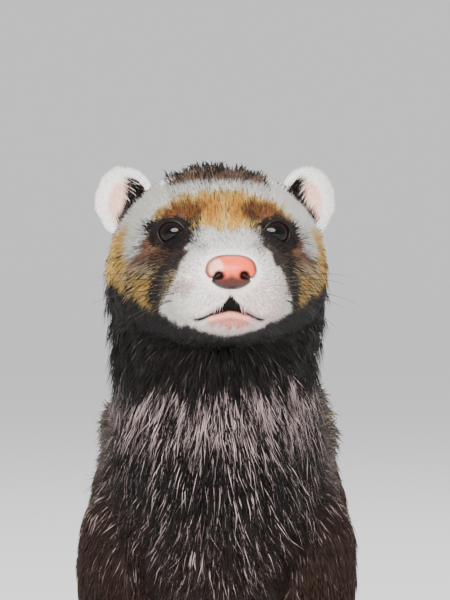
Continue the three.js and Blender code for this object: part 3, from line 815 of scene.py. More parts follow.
def face_markings(local):
    """Underfur colour and share of black guard hairs, by place on the head in millimetres."""
    side, depth, rise = local.T
    streak = noise(side * 0.9, rise * 0.35 + depth * 0.1)
    ripple = noise(side * 0.35 + 7, rise * 0.35 + depth * 0.2)
    x = np.abs(side) + 0.7 * ripple
    z = rise + 1.1 * streak
    front = fade(depth, 50, 58)

    arch = 21.9 - 0.0009 * x ** 3  # the upper edge of the band over the brow
    band = ease(z, 10.8, 12.6) * fade(z - arch, -0.7, 0.7) * front * fade(x, 18, 20)
    chestnut = patch(x, z, (11.6, 15.9), (6.8, 3.2), -0.32, 0.22) * front
    inner, outer = np.interp(z, MASK_RISE_IN, MASK_IN), np.interp(z, MASK_RISE_OUT, MASK_OUT)
    mask = ease(x - inner, -0.6, 0.9) * fade(x - outer, -1.0, 1.0)
    mask *= fade(z, 13, 16) * ease(z, -12.5, -10) * front
    low = fade(z, -3, 4)
    white_line = patch(x, z, (22.8, 11), (2.2, 7.5), 0.35)
    cheek = ease(x, 19, 22) * ease(z, -12, -9) * fade(z, 10, 14) * fade(depth, 54, 62) * (1 - white_line)
    off_middle = x + 1.6 * ripple - 9 * ease(depth, 50, 66)  # wider towards the nape
    crown = ease(depth - 0.012 * x ** 2, 39, 43) * fade(off_middle, 10.5, 15) * (z > 8)
    nape = ease(depth, 58, 70) * (z > -4)
    fringe = ease(depth, 52, 60) * fade(z, 2, 10)
    chin_line = -15.6 + 0.0125 * x ** 2
    below = ease(chin_line - z, -0.8, 0.8) * ease(x + depth, 12, 24)
    below = np.maximum(below, ease(depth, 21, 25) * fade(z - chin_line, 0, 2))
    blush = fade(z, -5, 2) * fade(x, 13, 18) * (depth < 30)
    to_left = ease(side, -9, 1)  # the picture tints the animal's left side more
    smudge = patch(side, z, (-12.2, -3.8), (3.0, 2.2), 0.2, 0.4) * (depth < 30)
    under = painted(
        np.tile(COLOURS["white"], (len(local), 1)), ("ochre", band),
        ("orange", band * patch(x, z, (3.6, 17), (2.6, 3.4)) * 0.8), ("chestnut", chestnut),
        ("umber", mask * (1 - low)), ("ochre", mask * low), ("ochre", np.clip(cheek - mask, 0, 1)),
        ("white", white_line * fade(depth, 50, 60)), ("crown", np.maximum(crown, nape)),
        ("smoke", fringe), ("blush", blush * (0.35 + 0.65 * to_left)), ("taupe", smudge * 0.75),
        ("pink", patch(x, z, (0, -12.1), (5.4, 2.3)) * (depth < 12)), ("smoke", below),
    )

    across = (x - inner) / np.maximum(outer - inner, 1)
    dark = mask * (0.78 - 0.44 * ease(across, 0.35, 0.8))
    dark *= 0.55 + 0.45 * ease(across, 0.75, 0.3) + 0.25 * fade(z, 0, 7)
    dark = np.maximum.reduce([
        dark,
        0.97 * (patch(x, z, (14.7, 10.3), (6.5, 5.0), 0.1, 0.22) * front),  # ring round the eye
        0.35 * (patch(x, z, (9.4, 8.4), (3.4, 2.4), 0.3, 0.5) * front),  # its inner corner
        0.7 * (patch(x, z, (8.4, 12.4), (2.4, 4.4), 0.2, 0.5) * front),  # the brow
        0.2 * chestnut,
        0.42 * cheek * ease(-z, -12, 6),
        0.12 * ease(z, 8, 10) * (x < 14) * front,
        (0.24 + 0.4 * ease(depth, 46, 52)) * crown + 0.25 * nape,
        0.85 * fringe,
    ])
    dark = np.maximum(dark * (1 - blush), below * 0.88)
    beard = ease(0.4 + (-5.8 - rise) * 0.72 - np.abs(side), -0.5, 0.3)  # black wedge over the mouth
    return under, np.maximum(dark, beard * ((rise > -10.4) & (rise < -5.6) & (depth < 10)))


# %% Markings of the body
def body_markings(facts):
    """Underfur colour, guard hair colour and share of guard hairs on neck, trunk, legs and tail."""
    place, run, angle = facts["place"], facts["spine_run"], facts["spine_angle"]
    spread = place[:, 0] * np.exp(-THROAT_FAN * np.clip(118 - place[:, 2], 0, 30))
    streak = noise(spread * 0.35, place[:, 2] * 0.10 + place[:, 1] * 0.05)
    jag = noise(spread * 0.8 + 3, place[:, 1] * 0.06)
    height = place[:, 2] + 3.6 * streak + 3.4 * jag
    throat = ease(height + 4 * np.exp(-(place[:, 0] / 13) ** 2), 113, 118)
    collar = ease(height, 99, 104) * (1 - throat)
    nape = ease(np.sin(angle), 0.1, 0.6)
    chest = fade(run, 85, 115) * ease(100 - height, 0, 6) * (1 - nape)
    whole = np.ones((len(place), 1))
    under = painted(
        COLOURS["buff"] * whole, ("taupe", fade(run, 95, 150)), ("smoke", throat * (1 - 0.6 * nape)),
    )
    guard = painted(COLOURS["sable"] * whole, ("black", fade(run, 60, 110)))
    belly, back = ease(-np.sin(angle), 0.35, 0.9), ease(np.sin(angle), 0.3, 0.95)
    dark = 0.55 - 0.20 * belly + 0.20 * back + 0.06 * streak
    for wanted, share in ((0.40 + 0.25 * jag, collar), (0.88 - 0.2 * nape, throat), (0.80, chest)):
        dark = dark + (wanted - dark) * share
    for name, share in facts["share"].items():
        if "leg" in name:
            under = painted(under, ("smoke", share * ease(88 - place[:, 2], 0, 34)))
            dark = dark + (0.93 - dark) * share * ease(92 - place[:, 2], 0, 30)
    on_tail = facts["share"]["tail"] * ease(place[:, 1], 262, 300)
    return painted(under, ("smoke", on_tail)), guard, np.clip(dark + (0.93 - dark) * on_tail, 0, 1)


def markings(facts):
    """The same three facts for the whole animal."""
    under, guard, dark = body_markings(facts)
    face_under, face_dark = face_markings(facts["local"])
    share = facts["share"]["head"] * fade(facts["local"][:, 1], 64, 80)
    under = under + (face_under - under) * share[:, None]
    guard = painted(guard, ("black", share))
    dark = dark + (face_dark - dark) * share
    for hand, side in SIDES.items():
        on = facts["owner"] == "ear_" + hand
        cup = facts["cups"][hand]
        inside = bowl_share(cup, side) < 0.95
        low = fade(0.75 * cup[:, 0] * side + 0.62 * cup[:, 2], -1.6, -0.2)
        behind = on & (cup[:, 1] > 1.5) & ~inside
        under[on], under[behind] = COLOURS["white"], COLOURS["cream"]
        dark = np.where(on, np.where(inside, 0.97 * low, np.where(behind, 0.12, 0.02)), dark)
    return under, guard, dark


# %% [markdown]
# ## Tufts
#
# Real fur is hair by hair, but a mesh of a hundred million hairs helps nobody. Each tuft here
# stands for a small bundle: a thin three-sided blade that leaves the skin, bends over and
# tapers to a point. The blades are laid out as arrays and joined, because an operator call for
# each of them would take hours. Short fur is one straight blade; long fur has a bend.

# %% Roots on the skin
def surface(mesh):
    """Places and normals of a mesh's corners, in millimetres, and its triangles."""
    mesh.calc_loop_triangles()
    corners = np.empty(len(mesh.loop_triangles) * 3, np.int32)
    mesh.loop_triangles.foreach_get("vertices", corners)
    normals = np.empty(len(mesh.vertices) * 3, np.float32)
    mesh.vertices.foreach_get("normal", normals)
    return places_of(mesh), normals.reshape(-1, 3).astype(float), corners.reshape(-1, 3)


def scattered(mesh, density, random):
    """Roots spread over the skin; density(points) is in tufts to a square millimetre."""
    points, normals, corners = surface(mesh)
    a, b, c = (points[corners[:, i]] for i in range(3))
    area = np.linalg.norm(np.cross(b - a, c - a), axis=1) / 2
    wanted = np.cumsum(area * density((a + b + c) / 3))
    count = int(wanted[-1])
    picks = (np.arange(count) + random.random(count)) / count * wanted[-1]
    chosen = np.minimum(np.searchsorted(wanted, picks), len(corners) - 1)
    s, t = np.sqrt(random.random(count)), random.random(count)
    weights = np.stack([1 - s, s * (1 - t), s * t], -1)[:, :, None]
    roots = (points[corners[chosen]] * weights).sum(1)
    return roots, unit((normals[corners[chosen]] * weights).sum(1))


# %% Blades
ROOT_DEPTH = 0.4  # millimetres that a root sits under the skin
MAP_PATCH = 0.003  # each tuft's own patch on the flat map


def paths(root, normal, lie, length, rise, curl, steps, tree):
    """Points along each tuft and the skin's normal there; long tufts drape over the skin."""
    lie = unit(lie - normal * (lie * normal).sum(-1, keepdims=True))
    side = np.cross(normal, lie)
    line, ups = [root - normal * ROOT_DEPTH], [normal]
    for k in range(1, steps + 1):
        s = k / steps
        flat = root + lie * (length * s)[:, None] + side * (curl * s * s)[:, None]
        up = normal.copy()
        if steps > 1:
            found = [tree.find_nearest(p)[:2] for p in flat]
            flat = np.array([f[0] for f in found])
            up = unit(np.array([f[1] for f in found]) + 0.35 * normal)
        line.append(flat + up * (rise * (1 - (1 - s) ** 1.7))[:, None])
        ups.append(up)
    return line, ups


def blades(line, ups, width):
    """Corners (tufts, corners, 3), their height on the tuft, and the faces of one tuft."""
    steps = len(line) - 1
    rows, heights = [], []
    for k in range(steps):
        s = k / steps
        ahead = unit(line[k + 1] - line[max(k - 1, 0)])
        wide = unit(np.cross(ups[k], ahead)) * (width * (0.5 - 0.12 * s))[:, None]
        ridge = ups[k] * (width * 0.42 * (1 - 0.3 * s))[:, None]
        rows += [line[k] - wide, line[k] + wide, line[k] + ridge]
        heights += [s, s, s]
    faces = [(0, 2, 1)]
    for k in range(steps - 1):
        for i in range(3):
            a, b = 3 * k + i, 3 * k + (i + 1) % 3
            faces += [(a, b, b + 3), (a, b + 3, a + 3)]
    top = 3 * (steps - 1)
    faces += [(top + i, top + (i + 1) % 3, 3 * steps) for i in range(3)]
    return np.stack([*rows, line[steps]], 1), np.array([*heights, 1.0]), np.array(faces)


def write_on(mesh, name, values):
    """Gives each corner of a mesh a number or a colour of its own."""
    if values.ndim == 1:
        mesh.attributes.new(name, "FLOAT", "POINT").data.foreach_set("value", values.astype(np.float32))
    else:
        rgba = np.concatenate([values, np.ones((len(values), 1))], 1).astype(np.float32)
        mesh.attributes.new(name, "FLOAT_COLOR", "POINT").data.foreach_set("color", rgba.ravel())


def coat_piece(name, corners, heights, faces, colour, chance, flat):
    """One mesh of many tufts with its colours, random numbers and flat map."""
    count, each = corners.shape[:2]
    mesh = bpy.data.meshes.new(name)
    mesh.vertices.add(count * each)
    mesh.vertices.foreach_set("co", to_frame(corners.reshape(-1, 3)).astype(np.float32).ravel())
    index = (faces[None] + (np.arange(count) * each)[:, None, None]).reshape(-1)
    mesh.loops.add(len(index))
    mesh.loops.foreach_set("vertex_index", index.astype(np.int32))
    mesh.polygons.add(len(index) // 3)
    mesh.polygons.foreach_set("loop_start", np.arange(0, len(index), 3, dtype=np.int32))
    mesh.update(calc_edges=True)
    mesh.polygons.foreach_set("use_smooth", np.ones(len(index) // 3, bool))
    write_on(mesh, "coat_colour", np.repeat(colour, each, axis=0))
    write_on(mesh, "strand", np.tile(heights, count))
    write_on(mesh, "chance", np.repeat(chance, each))
    across = np.resize([-0.5, 0.5, 0.0], each)
    across[-1] = 0
    own = np.stack([across, heights - 0.5], -1) * MAP_PATCH
    flat = (flat[:, None, :] + own[None]).reshape(-1, 2)[index].astype(np.float32)
    mesh.uv_layers.new(name="OFBake").data.foreach_set("uv", flat.ravel())
    return placed(name, mesh)


# %% [markdown]
# ## The coat, place by place
#
# On a ferret the hair is shortest on the nose and feet, longer on the cheeks, and longest on
# neck, back and tail, where it stands out and overlaps like thatch. These functions give the
# number of tufts to a square millimetre and their size at any place.

# %% Coat settings
def coat_sizes(facts):
    """Length, width and rise of the tips in millimetres, and tufts to a square millimetre."""
    local, place, run, shares = facts["local"], facts["place"], facts["spine_run"], facts["share"]
    depth, x, z = local[:, 1], np.abs(local[:, 0]), local[:, 2]
    belly = ease(-np.sin(facts["spine_angle"]), 0.5, 1.0) * ease(run, 90, 130)
    sizes = {
        "length": (9.5 + 4.5 * ease(run, 20, 45) + 1.0 * ease(run, 120, 180)) * (1 - 0.25 * belly),
        "width": 0.32 + 0.30 * ease(run, 75, 130),
        "rise": 3.2 + 1.2 * ease(run, 60, 130),
        "number": 2.9 - 1.65 * ease(run, 70, 115),
    }

    def bring(share, **wanted):
        """Moves sizes towards others by a share."""
        for name, value in wanted.items():
            sizes[name] = sizes[name] + (value - sizes[name]) * share

    def put(where, **wanted):
        """Sets sizes where a test holds."""
        for name, value in wanted.items():
            sizes[name] = np.where(where, value, sizes[name])

    for name, share in shares.items():
        if "leg" in name:
            bring(ease(share, 0.05, 0.6), length=8.5, rise=1.7, number=1.0)
            bring(ease(95 - place[:, 2], 0, 45) * share, length=5.5, width=0.55, rise=1.0, number=1.7)
            bring(ease(26 - place[:, 2], 0, 16) * share, length=3.0, width=0.42, rise=0.6, number=2.6)
    tail_length = np.clip(18 - 0.8 * (place[:, 1] - 390), 4, 18)
    on_tail = shares["tail"] * ease(place[:, 1], 258, 285)
    bring(on_tail, length=tail_length, width=0.8, rise=6.0, number=1.7)

    head = np.where(np.char.startswith(facts["owner"], "ear"), 1.0, shares["head"] * fade(depth, 66, 82))
    cheeks = ease(x, 15, 25) * ease(14 - z, 0, 14)
    jaw = ease(-z, 13, 18) * ease(depth, 14, 28)
    top = ease(depth, 40, 50) * fade(x, 12, 18) * (z > 15)
    face_length = 1.7 + 1.7 * ease(depth, 12, 30) + 2.2 * ease(depth, 32, 52)
    face_length = face_length + 1.6 * cheeks + 3.0 * ease(depth, 55, 80) + 2.6 * jaw + 1.0 * top
    face_rise = 0.35 + 0.5 * ease(depth, 12, 34) + 0.9 * ease(depth, 34, 60) + 0.9 * jaw + 0.7 * top
    bring(head, length=face_length, width=0.27 + 0.13 * ease(depth, 30, 60), rise=face_rise,
          number=7.5 - 3.3 * ease(depth, 34, 60))
    for hand, side in SIDES.items():
        away, p, r = lid_distance(side, local)
        near = fade(away, 1.1, 2.0) * (r < 9)
        for name, change in {"length": -0.68, "rise": -0.75, "number": 0.5}.items():
            sizes[name] = sizes[name] * (1 + change * near)
        put((away < 1.09) & (r < 8), number=0)
        cup = facts["cups"][hand]
        on = facts["owner"] == "ear_" + hand
        bowl = on & (bowl_share(cup, side) < 0.95)
        pink = bowl & (0.75 * cup[:, 0] * side + 0.62 * cup[:, 2] > -0.6)
        put(on, length=1.4, width=0.27, rise=0.3, number=8.5)
        put(bowl, length=3.4, width=0.36, rise=2.2, number=6.0)
        put(pink, length=1.8, rise=0.9, number=1.2)
    lip_line = z - mouth_rise(local[:, 0], depth)
    bare = 0.35 + 1.1 * fade(x, 3.5, 5.5)  # millimetres of bare lower lip
    lips = (lip_line < 0.15) & (lip_line > -bare - lip_gap(x)) & (x < MOUTH_SHOWS) & (z < -5)
    lips &= (head > 0.5) & (depth < MOUTH_CORNER)
    nose = np.linalg.norm((local - NOSE_AT) / (7.0, 6.0, 4.9), axis=1) < 1
    put(lips | nose | (place[:, 2] < 1.6), number=0)
    beard = (lip_line > 0) & (lip_line < 2.2) & (x < 3.5) & (depth < 10) & (head > 0.5)
    put(beard, length=2.6, rise=1.0)
    return sizes


SHOWN_AT = 0.6  # the part of a tuft that shows, as a share of its length
random = np.random.default_rng(20)
roots, normals = scattered(skin.data, lambda p: coat_sizes(survey(p))["number"], random)
facts = survey(roots)
length, width, rise, _ = coat_sizes(facts).values()
shown = survey(roots + facts["lie"] * (length * SHOWN_AT)[:, None])
under, guard, dark = markings(shown | {key: facts[key] for key in ("owner", "cups")})
count = len(roots)
print("tufts:", count)

# %% Guard hairs, underfur and clumps
CLUMP = 4.2  # millimetres between the middles of neighbouring clumps
CLUMP_SHARE, CLUMP_PULL = 0.05, 0.55  # tufts that are a clump's middle, and how far the tips go to it
LONG_FUR = 6.0  # millimetres

chance = random.random(count)
is_guard = random.random(count) < dark
colour = np.where(is_guard[:, None], guard, under)
colour = colour * (0.88 + 0.24 * random.random(count))[:, None]
length = length * (0.78 + 0.44 * random.random(count)) * np.where(is_guard, 1.12, 0.95)
rise = rise * (0.55 + 0.75 * random.random(count)) * np.where(is_guard, 1.1, 0.9)
width = width * np.where(is_guard, 0.9, 1.05)
curl = length * random.normal(0, 0.10, count)
long_fur = length > LONG_FUR

chosen = np.flatnonzero(long_fur)
middles = chosen[random.random(len(chosen)) < CLUMP_SHARE]
tree = KDTree(len(middles))
for i, m in enumerate(middles):
    tree.insert(roots[m], i)
tree.balance()
pull = np.zeros((count, 3))
stands = 0.75 + 0.6 * random.random(len(middles)) ** 2.5  # a few clumps stand out of the rest
stands = 1 + (stands - 1) * (1 + ease(90 - facts["spine_run"][middles], 0, 15))
for i in chosen:
    middle, clump, distance = tree.find(roots[i])
    if distance < CLUMP:
        pull[i] = np.array(middle) - roots[i]
        rise[i] *= stands[clump]
lie = facts["lie"] + unit(random.normal(0, 1, (count, 3))) * 0.10
lie = unit(lie + pull / length[:, None] * CLUMP_PULL)
print("clumps:", len(middles))

# %% Coat pieces
MOST_TRIANGLES = 190000
SOLE_RISE = 0.15  # no tuft goes lower
owner, run = facts["owner"], facts["spine_run"]
on_leg, on_neck = np.char.find(owner, "leg") >= 0, run < 88
groups = {
    "coat_head": (owner == "head") & ~long_fur,
    "coat_ears": np.char.startswith(owner, "ear") & ~long_fur,
    "coat_legs": on_leg & long_fur,
    "coat_feet": on_leg & ~long_fur,
    "coat_tail": owner == "tail",
}
rest = ~np.any(list(groups.values()), axis=0)
groups["coat_neck"] = rest & on_neck
groups["coat_body_under"] = rest & ~on_neck & ~is_guard
groups["coat_body"] = rest & ~on_neck & is_guard
skin_corners, _, skin_faces = surface(skin.data)
skin_tree = BVHTree.FromPolygons(skin_corners.tolist(), skin_faces.tolist())
coat = []
for name, members in groups.items():
    members = np.flatnonzero(members)
    members = members[np.argsort(run[members], kind="stable")]
    steps = 1 if name in ("coat_head", "coat_ears", "coat_feet", "coat_body_under") else 2
    each = 6 * steps - 2  # triangles of a tuft
    parts = max(1, math.ceil(len(members) * each / MOST_TRIANGLES))
    for number, part in enumerate(np.array_split(members, parts), 1):
        settings = (values[part] for values in (roots, normals, lie, length, rise, curl))
        corners, heights, faces = blades(*paths(*settings, steps, skin_tree), width[part])
        corners[:, :, 2] = np.maximum(corners[:, :, 2], SOLE_RISE)
        label = name if parts == 1 else f"{name}_{number}"
        marks = (values[part] for values in (colour, chance, facts["map"]))
        coat.append(coat_piece(label, corners, heights, faces, *marks))
print("coat pieces:", len(coat), "triangles:", sum(len(piece.data.polygons) for piece in coat))

# %% [markdown]
# ## Skin colours
#
# Under thin fur the skin shows, so it carries the same markings, darkened by painted shade as if
# the coat shadowed it. Lids are nearly black, lips and the bowls of the ears are pink.

# %% Skin colours
# painted shade: the skin's colours are darkened as if in the shadow of the coat
SKIN_PAINTED_SHADE = 0.7
skin_points = places_of(skin.data)
facts = survey(skin_points)
under, guard, dark = markings(facts)
x, depth, z = facts["local"].T
layers = []
for hand, side in SIDES.items():
    away, p, r = lid_distance(side, facts["local"])
    bowl = fade(bowl_share(facts["cups"][hand], side), 0.85, 1.0)
    layers.append(("lid", fade(away, 1.3, 1.7) * (r < 8)))
    layers.append(("ear", bowl * (facts["owner"] == "ear_" + hand)))
lip_line = z - mouth_rise(x, depth)
x = np.abs(x)
by_mouth = (depth < MOUTH_CORNER) & (z < -5) & (facts["owner"] == "head")
by_mouth = by_mouth * fade(x, MOUTH_SHOWS - 1, MOUTH_SHOWS + 0.5)
below_gap = -lip_line - lip_gap(x)
layers.append(("lip", fade(below_gap, 1.2, 2.4) * (lip_line < 0) * by_mouth * fade(x, 4.5, 6.5)))
# painted shade over dark lip pigment: the gap under the upper lip is near black
layers.append(("gap", fade(below_gap, 0.2, 0.7) * fade(lip_line, 0.2, 0.7) * by_mouth))
layers.append(("sole", skin_points[:, 2] < FLOOR_CLEARANCE + 0.05))
skin_colour = (under + (guard - under) * dark[:, None]) * SKIN_PAINTED_SHADE
write_on(skin.data, "coat_colour", painted(skin_colour, *layers))
print("skin colours on", len(skin_colour), "corners")

# %% [markdown]
# ## Materials
#
# Each material is a small node tree on the Principled shader. One helper adds a node, gives it
# its settings and fills or links its sockets, and every tree is written with it.

# %% Node helper
def add(tree, kind, inputs=None, **settings):
    made = tree.nodes.new("ShaderNode" + kind)
    for name, value in settings.items():
        setattr(made, name, value)
    for name, value in (inputs or {}).items():
        if isinstance(value, bpy.types.NodeSocket):
            tree.links.new(value, made.inputs[name])
        else:
            made.inputs[name].default_value = value
    return made


def start_material(name, roughness, **constants):
    """A material with its Principled shader, whose constant sockets are set directly."""
    material = bpy.data.materials.new(name)
    material.use_nodes = True
    shader = material.node_tree.nodes["Principled BSDF"]
    shader.inputs["Roughness"].default_value = roughness
    for socket, value in constants.items():
        shader.inputs[socket.replace("_", " ")].default_value = value
    return material, material.node_tree, shader


def own_colour(tree, shader, share):
    """The mesh's own colour, made lighter or darker by a share, as the base colour."""
    tone = add(tree, "Attribute", attribute_name="coat_colour")
    tinted = add(tree, "VectorMath", {0: tone.outputs["Color"], "Scale": share}, operation="SCALE")
    tree.links.new(tinted.outputs["Vector"], shader.inputs["Base Color"])


def speckles(tree, per_millimetre, **settings):
    """Noise in the object's own space, so many specks to a millimetre."""
    space = add(tree, "TexCoord")
    sockets = {"Vector": space.outputs["Object"], "Scale": per_millimetre / MILLIMETRE, **settings}
    return add(tree, "TexNoise", sockets).outputs["Fac"]


def ranged(tree, value, low, high):
    made = add(tree, "MapRange", {"Value": value, "To Min": low, "To Max": high})
    return made.outputs["Result"]


def ramp_colour(tree, shader, value, *stops):
    """Base colour from a ramp; each stop is a position and a hex colour."""
    ramp = add(tree, "ValToRGB", {"Fac": value})
    for element, (position, colour) in zip(ramp.color_ramp.elements, stops):
        element.position, element.color = position, (*linear(colour), 1)
    tree.links.new(ramp.outputs["Color"], shader.inputs["Base Color"])


def roughened(tree, shader, height, distance, strength, **settings):
    sockets = {"Height": height, "Distance": distance * MILLIMETRE, "Strength": strength}
    bump = add(tree, "Bump", sockets, **settings)
    tree.links.new(bump.outputs["Normal"], shader.inputs["Normal"])


def worn(piece, material):
    """The piece gets its material and rides on the animal's one body."""
    piece.data.materials.clear()
    piece.data.materials.append(material)
    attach(piece, "root")


# %% Hair: guard hairs and underfur, keratin with a soft gloss, darker at the root
hair, tree, shader = start_material("ferret_hair", 0.58, Specular_IOR_Level=0.2)
strand = add(tree, "Attribute", attribute_name="strand").outputs["Fac"]
luck = add(tree, "Attribute", attribute_name="chance").outputs["Fac"]
shares = {0: ranged(tree, strand, 0.62, 1.12), 1: ranged(tree, luck, 0.9, 1.1)}
own_colour(tree, shader, add(tree, "Math", shares, operation="MULTIPLY").outputs["Value"])
for piece in coat:
    worn(piece, hair)

# %% Skin: living skin seen between the hairs, with a fine grain
hide, tree, shader = start_material("ferret_skin", 0.65, Specular_IOR_Level=0.12)
grain = speckles(tree, 1.4, Detail=3.0)
own_colour(tree, shader, ranged(tree, grain, 0.85, 1.15))
roughened(tree, shader, grain, 0.2, 0.5)
FLESH = ["head", "neck", "torso", "tail"] + [
    f"{kind}_{hand}" for kind in ("ear", "foreleg", "forepaw", "hindleg", "hindpaw") for hand in SIDES
]
worn(skin, hide)
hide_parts(*FLESH)
print("skin stands for", len(FLESH), "solids")

# %% [markdown]
# ## Eyes
#
# A ferret's eye is a nearly black bead: a very dark brown iris round a wide pupil, under a
# clear wet cornea that mirrors the lights. The ball is a UV sphere whose front bulges a
# little. A dark rim of bare skin runs round the lids; it is a thin ring bent over the ball.

# %% Eyeballs: clear wet cornea over the dark iris
CORNEA_RISE, CORNEA_SHARE = 0.35, 0.62  # how far it bulges, and its share of the ball's radius
glass, tree, shader = start_material(
    "wet_eye", 0.06, Specular_IOR_Level=0.0, Coat_Weight=0.4, Coat_Roughness=0.02,
)
iris_place = add(tree, "Attribute", attribute_name="from_middle")
ramp_colour(tree, shader, iris_place.outputs["Fac"], (0.30, "#050303"), (0.62, "#1c0f0b"))
for hand, side in SIDES.items():
    bm = bmesh.new()
    ball, places = add_ball(bm, EYE_RADIUS, 64, 40, pole_ahead=True)
    wide = np.hypot(places[:, 0], places[:, 2]) / EYE_RADIUS
    front = places[:, 1] < 0
    places[:, 1] -= CORNEA_RISE * np.maximum(0, 1 - (wide / CORNEA_SHARE) ** 2) * front
    put_at(ball, moved(head_matrix @ eye_matrices[side], places))
    eye = finished(f"eyeball_{hand}", bm)
    write_on(eye.data, "from_middle", np.where(front, wide, 1.0))
    worn(eye, glass)
    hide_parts(f"eye_{hand}")

# %% Lid rims: bare black skin, wet along the edge
rim_skin, tree, shader = start_material("lid_rim", 0.35, Specular_IOR_Level=0.2)
ramp_colour(tree, shader, speckles(tree, 2.5), (0, "#080504"), (1, "#160d0b"))
RIM_RADIUS, RIM_LIFT, RIM_STEPS = 0.3, 0.28, 56


def on_ball(a):
    """A place on the edge of the lids, seen from the eye's middle."""
    x, z = LID_OPENING[0] * math.cos(a), LID_OPENING[1] * math.sin(a)
    z *= 1 - LID_NARROWING * abs(math.cos(a)) ** 4
    turned = math.hypot(x, z)
    flat = math.sin(turned) / turned
    return np.array([x * flat, -math.cos(turned), z * flat]) * (EYE_RADIUS + RIM_LIFT)


for hand, side in SIDES.items():
    bm = bmesh.new()
    matrix = head_matrix @ eye_matrices[side]
    add_loft(bm, [
        ring_round(on_ball, a, on_ball(a), RIM_RADIUS, matrix, wider=1.25)
        for a in np.arange(RIM_STEPS) * (2 * math.pi) / RIM_STEPS
    ], 10, closed=True)
    worn(finished(f"lid_rim_{hand}", bm), rim_skin)
print("eyes and rims made; eye width in mm:", round(2 * EYE_RADIUS * math.sin(LID_OPENING[0]), 1))

# %% [markdown]
# ## Nose
#
# The nose pad is bare, moist and finely pebbled skin, broad on top and narrow below, with a
# groove down its middle and two comma-shaped nostrils. It starts as a sphere, is pulled to
# shape corner by corner, and the nostrils are dents, so it stays one closed surface.

# %% Nose pad: moist pebbled leather
NOSE_SIZE = np.array([6.7, 4.3, 4.5])
NOSTRIL_DEPTH = 2.4
PEBBLE = 0.55  # millimetres from pebble to pebble
pad, tree, shader = start_material(
    "nose_leather", 0.42, Specular_IOR_Level=0.3, Coat_Weight=0.15, Coat_Roughness=0.25,
)
own_colour(tree, shader, ranged(tree, speckles(tree, 0.42, Detail=2.0), 0.82, 1.12))
space = add(tree, "TexCoord")
cells = add(tree, "TexVoronoi", {"Vector": space.outputs["Object"], "Scale": 1 / (PEBBLE * MILLIMETRE)})
roughened(tree, shader, cells.outputs["Distance"], 0.12, 0.7, invert=True)

bm = bmesh.new()
ball, places = add_ball(bm, 1, 96, 64, pole_ahead=True)
x, y, z = places.T
taper = np.where(z < 0, 1 + 0.30 * z, 1.0)
squared = 1 + 0.08 * np.sin(2 * np.arctan2(z, x)) ** 2
groove = 0.10 * np.exp(-(x / 0.085) ** 2) * ease(-z, -0.45, 0.5)
solid = np.stack([x * taper * squared, y + np.where(y < 0, groove, 0), z * squared], -1) * NOSE_SIZE
pit = np.zeros(len(solid))
for side in SIDES.values():
    away = solid - np.array([side * 3.25, 0, -0.7])
    pit += np.exp(-((away[:, 0] / 1.15) ** 2 + (away[:, 2] / 0.95) ** 2) ** 1.5)
    slit = solid - np.array([side * 5.0, 0, -1.7])
    tilt = slit[:, 2] + 0.35 * side * slit[:, 0]
    pit += 0.75 * np.exp(-((slit[:, 0] / 1.5) ** 2 + (tilt / 0.55) ** 2))
pit = np.clip(pit, 0, 1) * (y < -0.05)
solid[:, 1] += NOSTRIL_DEPTH * pit
put_at(ball, moved(head_matrix, solid + NOSE_AT))
nose = finished("nose_pad", bm)
# Painted shade over a dark pigmented lower edge: the pad darkens on its underside, round its rim and in
# the nostrils.
low = np.clip(ease(-z - 0.25 * np.abs(x), -0.05, 0.4) * 0.94 + 1.5 * pit, 0, 1)
edge = ease(np.hypot(x, z), 0.80, 0.95)
# The pale patch high on the pad, on the animal's right, is a painted highlight.
write_on(nose.data, "coat_colour", painted(
    np.tile(COLOURS["coral"], (len(x), 1)), ("nose_highlight", 0.7 * patch(x, z, (-0.62, 0.25), (0.3, 0.5))),
    ("nose_pigment_and_shade", np.clip(low + 0.7 * edge, 0, 1)),
))
worn(nose, pad)
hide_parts("nose")
print("nose pad", 2 * NOSE_SIZE[0], "mm wide")

# %% [markdown]
# ## Claws and whiskers
#
# A ferret's claws never draw in: five to a foot, pale horn, bent down to the floor. They are
# lofts like the limbs, set where the toes end. Whiskers are stiff single hairs in rows on the
# whisker pads; each one here is a thin tapering tube along a drooping arc.

# %% Claws: horn, brown and paler by turns
HORN_STREAK = 0.9  # millimetres from one streak of horn to the next
horn, tree, shader = start_material("claw_horn", 0.3, Specular_IOR_Level=0.45)
ramp_colour(tree, shader, speckles(tree, 1 / HORN_STREAK, Detail=1.0), (0, "#5d4a3c"), (1, "#a08c74"))
bm = bmesh.new()
for place in toes:
    add_limb(bm, Limb(CLAW), rings=12, sides=12, matrix=place)
for vertex in bm.verts:
    vertex.co.z = max(vertex.co.z, FLOOR_CLEARANCE * MILLIMETRE)
worn(finished("claws", bm), horn)
print("claws:", len(toes))

# %% Whiskers: dark keratin, thickest at the root
bristle, tree, shader = start_material("whisker", 0.4, Specular_IOR_Level=0.4)
shader.inputs["Base Color"].default_value = (*linear("#1d1714"), 1)
WHISKER_RADIUS, WHISKER_ROOT = 0.13, 0.8  # its thickness, and how deep it sits
WHISKERS = [  # depth, height, length and upward slope of each whisker on a side
    [7.5, -3.0, 17, 0.10], [10.0, -2.2, 22, 0.16], [12.5, -1.2, 24, 0.22],
    [6.5, -5.2, 16, -0.12], [9.0, -4.8, 22, -0.06], [11.8, -4.2, 26, 0.02],
    [8.0, -7.4, 17, -0.34], [10.8, -7.2, 20, -0.28],
]


def whisker_line(side, depth, height, long, slope):
    """The bent middle line of a whisker, from its root on the pad to its tip."""
    pad_points = head_point(np.full(80, depth), np.linspace(-1.2, 0.6, 80))
    root = pad_points[np.argmin(np.abs(pad_points[:, 2] - height))] * (side, 1, 1)
    ahead, bend = unit(np.array([side * 1.0, 0.42, slope])), np.array([side * -0.10, 0.16, -0.20])
    return lambda s: root - ahead * WHISKER_ROOT + (ahead * s + bend * s * s) * long


